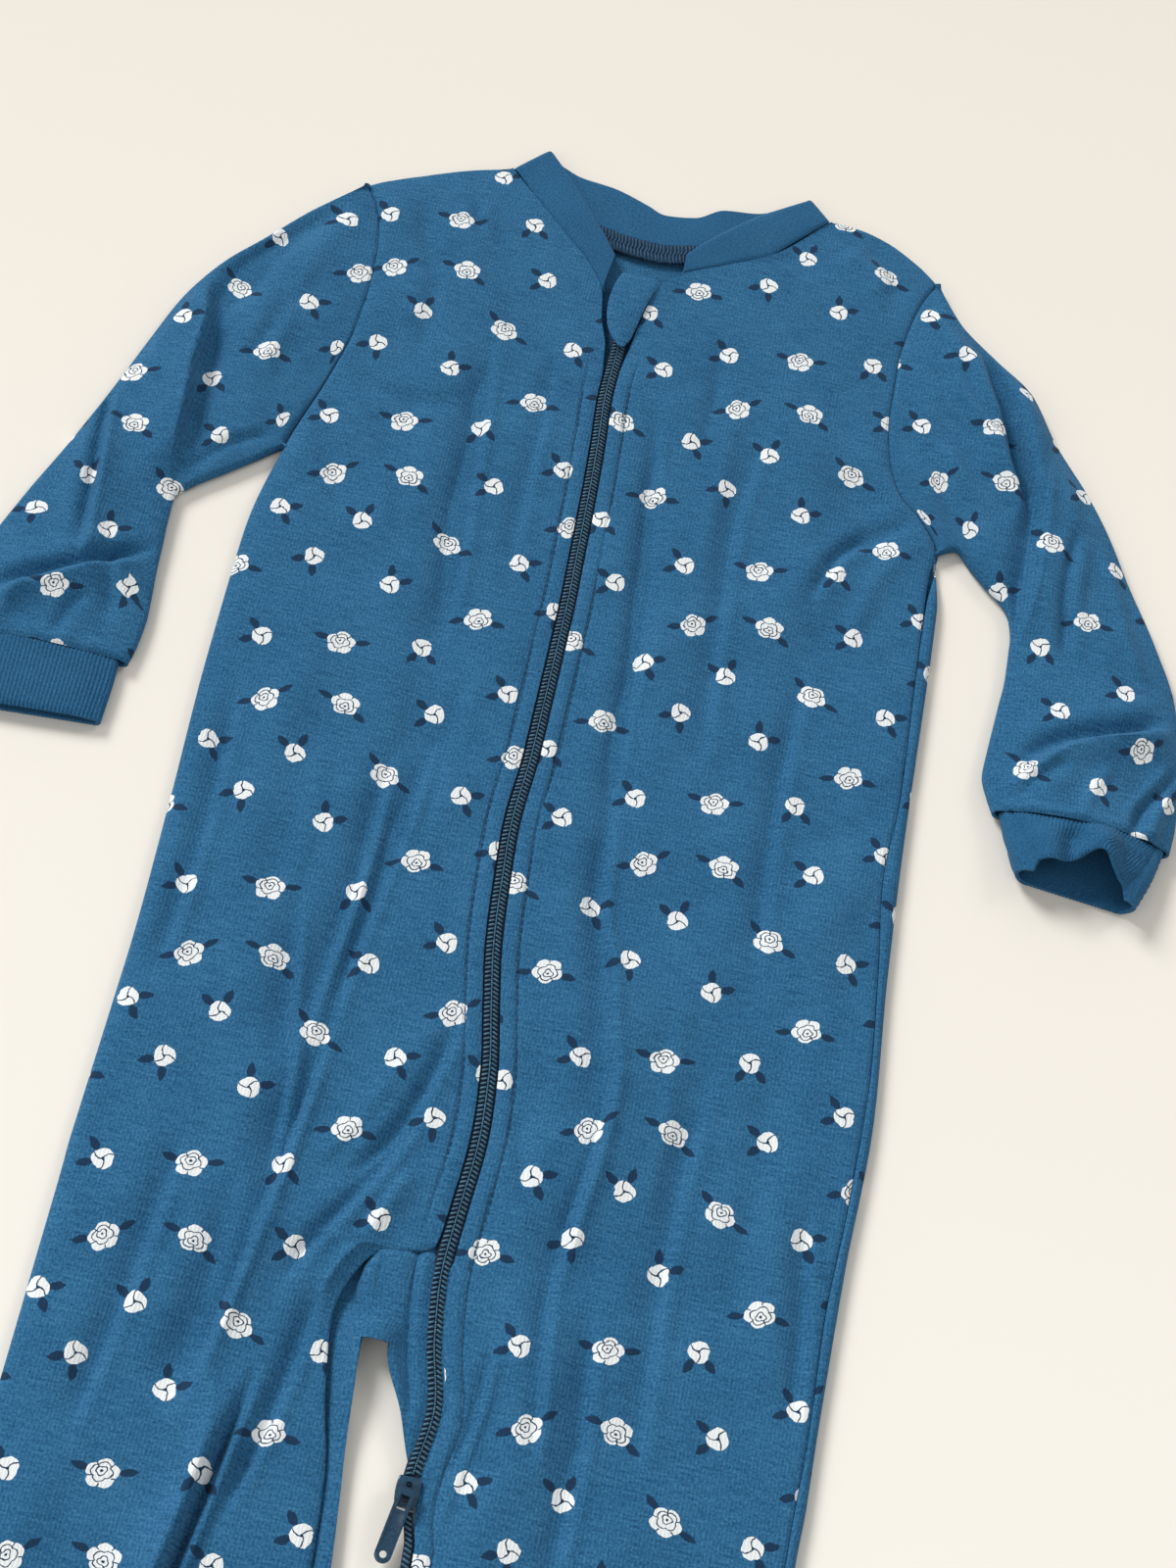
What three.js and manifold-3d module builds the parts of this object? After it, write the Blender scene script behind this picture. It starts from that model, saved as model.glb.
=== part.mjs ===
// A zip-through onesie pajama in interlock jersey, laid on its back on a flat surface.
// X is across, with the wearer's left at +X. Y runs up to the neck. Z is up from the surface.
// The origin is on the surface, on the centre line at chest height. Sizes are in millimetres.
import * as THREE from 'three';
import { mergeVertices } from 'three/addons/utils/BufferGeometryUtils.js';
import Module from 'manifold-3d';

const wasm = await Module();
wasm.setup();

// Cloth
const clothWall = 1.2; // one layer of interlock
const bandWall = 2; // doubled rib of the collar
const cuffWall = 1.6; // doubled rib of the cuffs
const seamGap = 0.35; // cut edge to cut edge at a straight seam
const curveGap = 0.8; // the same at a curved seam, where the edges are cut with different steps
const zipGap = 0.6; // from the zip to the cloth beside it
const layerGap = 0.35; // between a layer and the layer that it lies on
const frontEdgeZ = 2 * clothWall + layerGap; // top of a front edge that lies on the back
const hemY = -620; // where the legs meet their ankle cuffs
const ankleLength = 35;

// Zip
const zipHalf = 3.2; // half the width of the closed chain
const chainTopZ = 5.3;
const chainWall = 2.2;
const rowHalf = 1.5; // half the width of one open row of coil
const rowShift = 1.8; // how far the open front row lies beside the line of the chain
const chainTopY = 78;
const sliderY = -397;
const sliderHalfLength = 5;
const sliderPlateHalf = 4.1;
const sliderPlate = 1.4;
const sliderPlateZ = 5.8; // underside of the top plate, clear of the cloth beside it
const sliderFootZ = 2.6;

// Pull tab
const pullLength = 23.5;
const pullWidth = 5.6;
const pullThick = 1.4;
const pullBar = 0.75; // radius of its bar
const pullPinZ = 9.3;
const pullDrop = 14; // degrees below level, where it hangs over the edge of the leg
const pullTurn = -9; // degrees that it leans to the wearer's right

const blue = 0x2f668f;
const bandBlue = 0x2c628b;
const navy = 0x16283d;
const tealMetal = 0x1f4560;

const table = (names, ...rows) =>
  rows.map((row) => Object.fromEntries(names.map((name, k) => [name, row[k]])));
const mix = (a, b, t) => a + (b - a) * t;
const clamp = (v, lo = 0, hi = 1) => Math.min(hi, Math.max(lo, v));
const smooth = (t) => clamp(t) ** 2 * (3 - 2 * clamp(t));
const radians = Math.PI / 180;

// A row of a table at a place between two rows, without overshoot
function rowAt(rows, place) {
  const r = clamp(place, 0, rows.length - 1);
  const k = Math.min(Math.floor(r), rows.length - 2);
  const t = r - k;
  const slope = (i, name) => {
    if (i <= 0 || i >= rows.length - 1) return rows[Math.max(i, 1)][name] - rows[Math.max(i, 1) - 1][name];
    const before = rows[i][name] - rows[i - 1][name];
    const after = rows[i + 1][name] - rows[i][name];
    return before * after <= 0 ? 0 : (2 * before * after) / (before + after);
  };
  const out = {};
  for (const name of Object.keys(rows[0])) {
    const a = rows[k][name];
    const b = rows[k + 1][name];
    const m = slope(k, name);
    const n = k + 1 === rows.length - 1 ? b - a : slope(k + 1, name);
    const t2 = t * t;
    const t3 = t2 * t;
    out[name] = (2 * t3 - 3 * t2 + 1) * a + (t3 - 2 * t2 + t) * m + (3 * t2 - 2 * t3) * b + (t3 - t2) * n;
  }
  return out;
}

// The places to sample: each row of a table says how many steps lead to the next
function places(rows, from = 0, to = rows.length - 1) {
  const list = [];
  for (let k = from; k < to; k++) {
    for (let s = 0; s < rows[k].steps; s++) list.push(k + s / rows[k].steps);
  }
  list.push(to);
  return list;
}

// The zip's centre line, from the neck to the wearer's left ankle
const zipLine = table(['y', 'x'],
  [106, -8], [68, -7.2], [46, -7.8], [16, -6], [-4, -5], [-34, -4], [-63, -3.2], [-123, -3.2],
  [-153, -4.6], [-178, -3.2], [-202, -1], [-227, 3.4], [-252, 8], [-277, 9.8], [-302, 8.4],
  [-322, 7.4], [-346, 10], [-371, 15.2], [-392, 13], [-400, 12.4], [-412, 14.8], [-470, 20], [-540, 26],
  [-640, 37]);

function zipX(y) {
  let k = zipLine.findIndex((row, i) => i > 0 && row.y <= y) - 1;
  if (k < 0) k = zipLine.length - 2;
  return rowAt(zipLine, k + (zipLine[k].y - y) / (zipLine[k].y - zipLine[k + 1].y)).x;
}

// Folds: a path in plan, how far the cloth rises along it, and how wide it is on the left and
// right of the path. A negative rise is a trough.
const fold = (rise, left, right, ...path) => ({ rise, left, right, path });

function foldLift(folds, x, y) {
  let lift = 0;
  for (const { rise, left, right, path } of folds) {
    let best = { d: Infinity };
    let run = 0;
    const spans = path.slice(1).map(([x2, y2], i) => Math.hypot(x2 - path[i][0], y2 - path[i][1]));
    const total = spans.reduce((sum, span) => sum + span);
    for (let i = 1; i < path.length; i++) {
      const [ax, ay] = path[i - 1];
      const dx = path[i][0] - ax;
      const dy = path[i][1] - ay;
      const length = Math.hypot(dx, dy);
      const t = clamp(((x - ax) * dx + (y - ay) * dy) / length ** 2);
      const d = Math.hypot(x - ax - dx * t, y - ay - dy * t);
      if (d < best.d) best = { d, side: dx * (y - ay) - dy * (x - ax), at: (run + t * length) / total };
      run += length;
    }
    const width = best.side > 0 ? left : right;
    const fade = smooth(best.at * 4) * smooth((1 - best.at) * 4);
    lift += rise * fade * Math.exp(-((best.d / width) ** 2));
  }
  return lift;
}

// A cloth wall from a grid of its outer points. wrap joins the last column to the first, and keep
// says which cells there are. outward is 1 where the outer side faces up for rows that run to +Y.
function wallGeometry(grid, { wall, outward = 1, wrap = false, keep = () => true }) {
  const rows = grid.length;
  const cols = grid[0].length;
  const at = (i, j) => grid[i][wrap ? (j + cols) % cols : clamp(j, 0, cols - 1)];
  const outer = [];
  const inner = [];
  for (let i = 0; i < rows; i++) {
    for (let j = 0; j < cols; j++) {
      const p = new THREE.Vector3(...grid[i][j]);
      const along = new THREE.Vector3(...at(Math.min(i + 1, rows - 1), j))
        .sub(new THREE.Vector3(...at(Math.max(i - 1, 0), j)));
      const across = new THREE.Vector3(...at(i, j + 1)).sub(new THREE.Vector3(...at(i, j - 1)));
      const normal = across.cross(along).normalize().multiplyScalar(outward);
      outer.push(p);
      inner.push(p.clone().addScaledVector(normal, -wall));
    }
  }
  const faces = [];
  const cellCols = wrap ? cols : cols - 1;
  for (let i = 0; i < rows - 1; i++) {
    for (let j = 0; j < cellCols; j++) {
      if (!keep(i, j)) continue;
      const a = i * cols + j;
      const b = i * cols + ((j + 1) % cols);
      const c = b + cols;
      const d = a + cols;
      faces.push([a, b, c], [a, c, d]);
    }
  }
  if (outward < 0) faces.forEach((f) => f.reverse());
  return shellGeometry(outer, inner, faces);
}

// Closes outer and inner faces into one body, with a band along each free edge
function shellGeometry(outer, inner, faces) {
  const count = outer.length;
  const triangles = [];
  const edges = new Set(faces.flatMap(([a, b, c]) => [`${a},${b}`, `${b},${c}`, `${c},${a}`]));
  for (const [a, b, c] of faces) triangles.push([a, b, c], [c + count, b + count, a + count]);
  for (const edge of edges) {
    const [a, b] = edge.split(',').map(Number);
    if (!edges.has(`${b},${a}`)) triangles.push([b, a, a + count], [b, a + count, b + count]);
  }
  const geometry = new THREE.BufferGeometry();
  geometry.setAttribute('position', new THREE.BufferAttribute(
    new Float32Array([...outer, ...inner].flatMap((p) => [p.x, p.y, p.z])), 3));
  geometry.setIndex(triangles.flat());
  return geometry;
}

// The height of a front across one row: rolled down at both edges, level between them
const rollWidth = 8;
const roll = (d) => (d >= rollWidth ? 1 : Math.sqrt(1 - (1 - d / rollWidth) ** 2));

function frontPoint(row, s, folds) {
  const width = Math.hypot(row.inX - row.outX, row.inY - row.outY);
  const x = mix(row.outX, row.inX, s);
  const y = mix(row.outY, row.inY, s) + row.bow * 4 * s * (1 - s);
  const fromOut = mix(row.outZ, row.midZ, roll(s * width));
  const fromIn = mix(row.inZ, row.midZ, roll((1 - s) * width));
  const base = mix(fromOut, fromIn, smooth(s));
  const edge = smooth(Math.min(s, 1 - s) * width / rollWidth);
  return [x, y, base + foldLift(folds, x, y) * edge];
}

// The wearer's right front, with its leg. Rows run from the ankle to the shoulder.
const frontColumns = ['outX', 'outY', 'inX', 'inY', 'outZ', 'midZ', 'inZ', 'bow', 'onZip', 'steps'];
const rightFront = table(frontColumns,
  [-98, hemY, -22, hemY, frontEdgeZ, 4.6, frontEdgeZ, 0, 0, 3],
  [-110, -540, -14, -540, frontEdgeZ, 5, frontEdgeZ, 0, 0, 4],
  [-120, -450, -11, -450, frontEdgeZ, 5.4, 4, 0, 0, 3],
  [-123, -400, -14, -400, frontEdgeZ, 5.6, 5, 0, 0, 2],
  [-123.5, -372, -20.5, -372, frontEdgeZ, 5.8, 5.4, 0, 0, 2],
  [-124, -348, -24.5, -346, frontEdgeZ, 5.8, 5.6, 0, 0, 1],
  [-124.3, -332, -20.5, -330, frontEdgeZ, 5.8, 5.6, 0, 0, 1],
  [-124.5, -322, -13, -321, frontEdgeZ, 5.8, 5.4, 0, 0, 1],
  [-124.7, -315, -4, -319.5, frontEdgeZ, 5.7, 5.2, 0, 0, 1],
  [-125, -307, 3.4, -316, frontEdgeZ, 5.6, 5.2, 0, 0, 1],
  [-125, -292, 4.8, -298, frontEdgeZ, 5.6, 5.2, 0, 1, 3],
  [-125, -240, 0, -240, frontEdgeZ, 5.6, 5.2, 0, 1, 3],
  [-127, -178, 0, -178, frontEdgeZ, 5.4, 5.2, 0, 1, 3],
  [-130, -115, 0, -115, frontEdgeZ, 5.4, 5.2, 0, 1, 3],
  [-131, -58, 0, -58, frontEdgeZ, 5.4, 5.2, 0, 1, 2],
  [-126, -15, 0, -15, frontEdgeZ, 5.4, 5.2, 0, 1, 2],
  [-117, 22, -11, 16, 4.6, 5.6, 5.3, 0, 1, 2],
  [-112.6, 48, -11.5, 46, 4.8, 5.8, 5.4, 0, 1, 2],
  [-112, 66, -12.5, 66, 4.8, 6, 5.8, 0, 0, 1],
  [-112.2, 76, -16.5, 80, 4.8, 6, 6, 0, 0, 1],
  [-113, 87, -19.5, 95, 4.8, 6, 6.2, 0, 0, 1],
  [-114.4, 97, -27.5, 107.5, 4.6, 6, 6.2, 0, 0, 1],
  [-116.5, 106, -40, 120, 4.2, 6, 6, 0.5, 0, 1],
  [-119.5, 114, -54, 134, 3.6, 5.4, 5.4, 1.2, 0, 1],
  [-125, 122.5, -68.5, 149, frontEdgeZ, 3.2, 4.4, 2.4, 0, 1]);
const rightArmpit = 15;
const rightNeck = 20;

// The wearer's left front, with its leg, which carries the other side of the zip
const leftFront = table(frontColumns,
  [112, hemY, 38, hemY, 5, 5, 4.6, 0, 2, 3],
  [126, -540, 30, -540, 5, 5.2, 4.8, 0, 2, 4],
  [134, -450, 23, -450, 5, 5.2, 5, 0, 2, 3],
  [136.3, -406, 19, -406, 5, 5.4, 5.1, 0, 2, 1],
  [136.4, -388, 19, -388, 5, 5.4, 5.1, 0, 1, 4],
  [137.5, -350, 16, -350, 5, 5.4, 5.1, 0, 1, 2],
  [137, -312, 11, -312, 5, 5.4, 5.1, 0, 1, 2],
  [139.2, -270, 14, -270, 5, 5.4, 5.1, 0, 1, 2],
  [140.2, -228, 7, -228, 5, 5.4, 5.1, 0, 1, 2],
  [137.3, -180, 0, -180, 5, 5.4, 5.1, 0, 1, 2],
  [133.8, -140, 0, -140, 5, 5.4, 5.1, 0, 1, 2],
  [135.6, -108, 0, -108, 5, 5.4, 5.1, 0, 1, 3],
  [134.4, -55, 0, -55, 5, 5.4, 5.1, 0, 1, 3],
  [133.5, -8, 0, -8, 4.6, 5.4, 5.1, 0, 1, 1],
  [135.5, 6, 0, 2, frontEdgeZ, 5.6, 5.1, 0, 1, 1],
  [127, 19.5, 0, 18, 4.4, 5.8, 5.2, 0, 1, 1],
  [117, 29, 0, 34, 5.2, 6, 5.2, 0, 1, 1],
  [110, 46, -3.9, 52, 5.6, 6, 5.4, 0, 1, 2],
  [107.2, 68, -2.2, 72, 5.6, 6, 6, 0, 0, 2],
  [107.2, 92, 3.4, 104, 5.6, 6, 6.2, 0, 0, 1],
  [108.5, 107, 12, 113, 5.4, 6, 6.2, 0.5, 0, 1],
  [111, 121, 28, 122.5, 5, 6, 6.2, 2, 0, 1],
  [114, 131.5, 47, 134.5, 4, 5.4, 5.6, 4, 0, 1],
  [118.3, 141, 69, 160.5, frontEdgeZ, 3.4, 4.4, 6.5, 0, 1]);
const leftArmpit = 14;
const leftNeck = 19;

// onZip is 1 along the closed chain and 2 along the open row under the slider
function frontRow(rows, place, side) {
  const row = rowAt(rows, place);
  const near = rows.slice(Math.floor(place), Math.ceil(place) + 1).map((r) => r.onZip);
  const open = near.every((v) => v === 2);
  const closed = near.every((v) => v === 1);
  const beside = mix(rowShift + rowHalf, zipHalf, closed ? 1 : smooth((row.inY + 404) / 12));
  if (closed || open || near.includes(2)) row.inX = zipX(row.inY) + side * (beside + zipGap);
  return row;
}

// Fold tables. The larger folds only: the finer ones are in the surface finish.
const rightFolds = [
  fold(-2, 10, 8, [-57, 70], [-50, 20], [-50, -40], [-47, -120], [-48, -225]),
  fold(1.6, 9, 9, [-92, -90], [-97, -170], [-88, -230]),
  fold(2.6, 14, 6, [-70, -215], [-60, -265], [-57, -312], [-62, -350], [-69, -395]),
  fold(-2.6, 5, 7, [-69, -300], [-68, -345], [-72, -392]),
  fold(3, 5, 12, [-47, -372], [-50, -400], [-57, -440], [-64, -500]),
  fold(2, 8, 8, [-14, -290], [-30, -320], [-33, -350]),
  fold(1.6, 10, 10, [-98, -380], [-104, -450], [-88, -540]),
  fold(1.4, 8, 8, [-92, 110], [-74, 96], [-60, 60]),
  fold(1.6, 9, 9, [-40, -470], [-48, -530], [-44, -600])];

const leftFolds = [
  fold(-1.6, 6, 8, [14, 40], [24, -20], [28, -110], [33, -170]),
  fold(3, 16, 5, [38, -180], [45, -215], [49, -255], [44, -290], [43, -325]),
  fold(2.2, 9, 9, [46, -320], [48, -360], [40, -400], [32, -450]),
  fold(1.5, 10, 10, [120, -120], [112, -200], [118, -300]),
  fold(-1.6, 8, 8, [112, -165], [108, -260], [106, -330]),
  fold(1.6, 10, 10, [72, 60], [80, 0], [76, -70]),
  fold(-2, 8, 8, [88, 32], [104, 18], [114, -6]),
  fold(1.8, 10, 10, [88, -430], [98, -500], [84, -590]),
  fold(1.8, 9, 9, [100, 128], [86, 140], [76, 148])];

function frontPiece(rows, folds, side, columns) {
  const grid = places(rows).map((place) => {
    const row = frontRow(rows, place, side);
    return Array.from({ length: columns + 1 }, (_, j) => {
      const even = j / columns;
      const s = side < 0 ? even : 1 - even;
      return frontPoint(row, s, folds);
    });
  });
  return wallGeometry(grid, { wall: clothWall });
}

// Armholes, from the armpit at 0 to the shoulder tip at 1
function armhole(rows, from, side, t) {
  const place = mix(from, rows.length - 1, t);
  const row = frontRow(rows, place, side);
  return { x: row.outX, y: row.outY, z: row.outZ };
}

// The back, cut in one with both legs. It lies flat, and on the wearer's left it rolls up over
// the edge to meet the front. Its inner leg edges stand up a little at the crotch.
const backRows = table(
  ['leftX', 'leftY', 'gapLeftX', 'gapRightX', 'gapY', 'rightX', 'rightY', 'curl', 'steps'],
  [-98, hemY, -22, 41, hemY, 116, hemY, 1, 3],
  [-110, -540, -12, 31, -540, 130, -540, 1, 3],
  [-120, -450, -4.5, 24.5, -450, 138, -450, 1, 2],
  [-123, -404, -8, 20, -404, 140, -404, 1, 1],
  [-123.2, -388, -10, 11, -388, 140.3, -388, 1, 1],
  [-123.5, -372, -11.5, 4.5, -372, 141, -372, 1, 1],
  [-124, -352, -13, -4.5, -352, 141, -352, 1, 1],
  [-124.5, -330, -13, -3, -330, 141.3, -330, 1, 1],
  [-125, -292, -12, -2, -292, 142, -292, 1, 2],
  [-125, -240, -8, 2, -240, 144.3, -240, 1, 2],
  [-127, -178, -8, 2, -178, 141.4, -178, 1, 2],
  [-130, -115, -6, 4, -115, 140, -115, 1, 2],
  [-131, -58, -5, 5, -58, 139.8, -58, 1, 1],
  [-128.6, -34, -5, 5, -34, 139.4, -20, 0.9, 1],
  [-126, -15, -5, 5, -8, 135.5, 6, 0, 1]);
const gapTop = 6; // the row where the legs part
const rightNeckPoint = { x: -68.5, y: 149 };
const leftNeckPoint = { x: 69, y: 160.5 };
const backNeck = { leftX: -9, rightX: 1, y: 128.5, sag: 4 };
const armRows = 9; // one for each row of the armhole tables
const curlPoints = table(['inset', 'z'], [4.6, 0], [1.4, 0.6], [0.1, 2.6], [1.3, 4.6]);
const backFolds = [
  fold(3.2, 5, 5, [-16, -318], [-6, -340], [1, -362], [11, -388]),
  fold(2, 4, 4, [-14, -322], [-15, -345], [-13, -372], [-9, -405])];

// The six control points of a back row: edge, neck point, centre two, neck point, edge
function backControls(row) {
  return [
    [row.leftX, row.leftY],
    [(row.leftX + row.gapLeftX) / 2, (row.leftY + row.gapY) / 2],
    [row.gapLeftX, row.gapY],
    [row.gapRightX, row.gapY],
    [(row.gapRightX + row.rightX) / 2, (row.gapY + row.rightY) / 2],
    [row.rightX, row.rightY]];
}

function armControls(t) {
  const left = armhole(rightFront, rightArmpit, -1, t);
  const right = armhole(leftFront, leftArmpit, 1, t);
  const start = backControls(backRows.at(-1));
  const lift = t ** 1.4;
  return [
    [left.x, left.y],
    [mix(start[1][0], rightNeckPoint.x, t), mix(start[1][1], rightNeckPoint.y, lift)],
    [mix(start[2][0], backNeck.leftX, t), mix(start[2][1], backNeck.y, lift)],
    [mix(start[3][0], backNeck.rightX, t), mix(start[3][1], backNeck.y, lift)],
    [mix(start[4][0], leftNeckPoint.x, t), mix(start[4][1], leftNeckPoint.y, lift)],
    [right.x, right.y]];
}

// The bows of the spans of the top row: shoulder, neckline, centre, neckline, shoulder
const topBows = [2.4, -backNeck.sag, 0, -backNeck.sag, 6.5];
const spanCells = [4, 5, 1, 5, 4];

function backSpan(controls, span, s, t) {
  const [a, b] = [controls[span], controls[span + 1]];
  return [mix(a[0], b[0], s), mix(a[1], b[1], s) + topBows[span] * t ** 2 * 4 * s * (1 - s)];
}

function backRowPoints(controls, curl, t, seamX) {
  const points = [];
  const flat = [];
  spanCells.forEach((cells, span) => {
    for (let k = 0; k < cells; k++) flat.push(backSpan(controls, span, k / cells, t));
  });
  for (const [x, y] of flat) points.push([x, y, foldLift(backFolds, x, y)]);
  const [edgeX, edgeY] = controls[5];
  curlPoints.forEach(({ inset, z }, k) => {
    const level = edgeX - 5 + k * 1.25;
    points.push([mix(level, edgeX - inset, curl), edgeY, z * curl]);
  });
  points.push([mix(edgeX, Math.min(seamX + curveGap, edgeX - 2.2), curl), edgeY, 5.1 * curl]);
  return points;
}

// The side seam's x on the wearer's left at a height y
function leftSeamX(y) {
  const k = leftFront.findIndex((row, i) => i > 0 && row.outY >= y) - 1;
  const i = k < 0 ? 0 : k;
  const t = (y - leftFront[i].outY) / (leftFront[i + 1].outY - leftFront[i].outY);
  return rowAt(leftFront, i + clamp(t)).outX;
}

function backPiece() {
  const grid = [];
  const list = places(backRows);
  for (const place of list) {
    const row = rowAt(backRows, place);
    grid.push(backRowPoints(backControls(row), row.curl, 0, leftSeamX(row.rightY)));
  }
  for (let k = 1; k <= armRows; k++) grid.push(backRowPoints(armControls(k / armRows), 0, k / armRows, 0));
  const gapColumn = spanCells[0] + spanCells[1];
  const partRow = list.findIndex((place) => place >= gapTop);
  const keep = (i, j) => !(j === gapColumn && i < partRow);
  return wallGeometry(grid, { wall: clothWall, outward: -1, keep });
}

// A flattened tube. Each row gives the outer and the underside edge, the height in the middle, the
// height of the rounded sides, and how far the row bows across.
const tubeColumns = ['outX', 'outY', 'inX', 'inY', 'topZ', 'sideZ', 'bow', 'steps'];
const sideSteps = 4;
const flatSteps = 9;

function tubeRing(row, edgeAt, folds) {
  const ring = [];
  const reach = row.sideZ / 2;
  const width = Math.hypot(row.outX - row.inX, row.outY - row.inY);
  const inset = reach / width;
  const put = (s, z) => ring.push([...edgeAt(s), z]);
  for (let k = 0; k <= flatSteps; k++) put(mix(inset, 1 - inset, k / flatSteps), 0);
  for (let k = 1; k < sideSteps; k++) {
    const a = (-0.5 + k / sideSteps) * Math.PI;
    put(1 - inset + inset * Math.cos(a), reach + reach * Math.sin(a));
  }
  for (let k = flatSteps; k >= 0; k--) {
    const s = mix(inset, 1 - inset, k / flatSteps);
    const crown = Math.sin(Math.PI * clamp((s - inset) / (1 - 2 * inset))) ** 0.7;
    const [x, y] = edgeAt(s);
    const lift = foldLift(folds, x, y) * smooth(Math.min(s, 1 - s) * 8);
    put(s, row.sideZ + (row.topZ - row.sideZ) * crown + lift);
  }
  for (let k = sideSteps - 1; k > 0; k--) {
    const a = (-0.5 + k / sideSteps) * Math.PI;
    put(inset - inset * Math.cos(a), reach + reach * Math.sin(a));
  }
  return ring;
}

const rowEdge = (row) => (s) => [
  mix(row.inX, row.outX, s) + row.bow * 4 * s * (1 - s), mix(row.inY, row.outY, s)];

function sleevePiece(rows, front, armpit, side, folds) {
  const rings = places(rows).map((place) => {
    const row = rowAt(rows, place);
    const straight = rowEdge(row);
    const seamShare = clamp(1 - place);
    const edgeAt = (s) => {
      const [x, y] = straight(s);
      if (seamShare === 0) return [x, y];
      const inset = row.sideZ / 2 / Math.hypot(row.outX - row.inX, row.outY - row.inY);
      const hole = armhole(front, armpit, side, clamp((s - inset) / (1 - 2 * inset)));
      const cut = [hole.x + side * curveGap, hole.y];
      return [mix(x, cut[0], seamShare), mix(y, cut[1], seamShare)];
    };
    return tubeRing(row, edgeAt, folds);
  });
  return wallGeometry(rings, { wall: clothWall, outward: tubeOutward(rows[0]), wrap: true });
}

// The sign that turns a tube's rings outwards depends on which side of the body it is
const tubeOutward = (row) => (row.outX > 0 ? 1 : -1);

const rightSleeve = table(tubeColumns,
  [-125, 122.5, -126, -15, 5.4, 4.8, 0, 3],
  [-143, 104, -133, -22, 6, 5, 6, 1],
  [-159, 83, -145, -33, 6.4, 5, 2, 1],
  [-172, 66, -155, -42, 6.8, 5, 0, 1],
  [-183, 44, -160.5, -50, 7.4, 5, 0, 1],
  [-190, 20, -160, -60, 7.8, 5, 0, 1],
  [-197, -6, -159, -70, 8, 5, 0, 1],
  [-206, -36, -158, -82, 8, 5, 0, 1],
  [-216, -66, -156.5, -95, 8, 5, 0, 1],
  [-223, -92, -155.5, -106, 8, 5, 0, 1],
  [-225, -112, -155.8, -116, 8, 5, 0, 1],
  [-224, -126.5, -157, -125, 7.4, 5, 0, 1]);

const leftSleeve = table(tubeColumns,
  [118.3, 141, 135.5, 6, 6, 4.8, 0, 3],
  [131, 123, 143, 10, 7.4, 5, -7, 1],
  [148, 108.5, 150, 3, 8, 5, -3, 1],
  [164, 96, 157, -4, 8.2, 5, 0, 1],
  [178, 72, 164, -10, 8.2, 5, 0, 1],
  [192, 53, 168, -17, 8.2, 5, 0, 1],
  [203, 35, 169.5, -27, 8.2, 5, 0, 1],
  [214, 12, 169.5, -42, 8.2, 5, 0, 1],
  [227, -13, 168, -59, 8.4, 5, 0, 1],
  [237, -38, 166.5, -75, 9.4, 5.4, 0, 1],
  [242, -68, 165.5, -88, 11, 6, 0, 1],
  [241.5, -92, 168, -97, 13.2, 7, 0, 1],
  [240, -104.5, 171, -103.5, 15, 8, 0, 1]);

const rightSleeveFolds = [
  fold(3, 4, 16, [-178, 52], [-171, 30], [-168, 0], [-165, -28], [-161, -50]),
  fold(-2.6, 7, 7, [-148, 92], [-156, 64], [-164, 40]),
  fold(2, 8, 5, [-197, -18], [-192, -55], [-184, -92]),
  fold(1.8, 6, 6, [-214, -118], [-195, -99], [-170, -86])];

const leftSleeveFolds = [
  fold(4, 8, 7, [121, 130], [138, 96], [153, 68], [167, 40]),
  fold(-4, 5, 5, [144, 108], [153, 86], [161, 64], [169, 42]),
  fold(2.6, 6, 6, [152, 106], [163, 86], [172, 60], [173, 32]),
  fold(2, 5, 5, [178, 68], [186, 42], [189, 12], [189, -20]),
  fold(2, 7, 7, [176, -92], [195, -74], [215, -64], [240, -54])];

function tubePiece(rows, folds = [], wall = cuffWall) {
  const rings = places(rows).map((place) => {
    const row = rowAt(rows, place);
    return tubeRing(row, rowEdge(row), folds);
  });
  return wallGeometry(rings, { wall, outward: tubeOutward(rows[0]), wrap: true });
}

const rightCuff = table(tubeColumns,
  [-220, -127.2, -160, -125.6, 7.4, 5, 0, 2],
  [-218, -142, -160, -138, 7, 5, 0, 1],
  [-216.5, -156, -160, -151.5, 6.2, 4.6, 0, 1]);
const leftCuff = table(tubeColumns,
  [238, -105.2, 173.5, -104.2, 15, 8.4, 0, 2],
  [234, -118, 177, -115, 17, 11, 0, 1],
  [228.5, -132, 182, -128, 19, 13, 0, 1]);
const leftCuffFolds = [fold(-4.5, 6, 6, [199, -88], [200, -145]), fold(2, 7, 7, [212, -88], [211, -145])];
const rightAnkle = table(tubeColumns,
  [-98, hemY - seamGap, -22, hemY - seamGap, 5, 4, 0, 2],
  [-95, hemY - ankleLength, -26, hemY - ankleLength, 4.8, 4, 0, 1]);
const leftAnkle = table(tubeColumns,
  [115, hemY - seamGap, 41, hemY - seamGap, 5, 4, 0, 2],
  [111, hemY - ankleLength, 44, hemY - ankleLength, 4.8, 4, 0, 1]);

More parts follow.
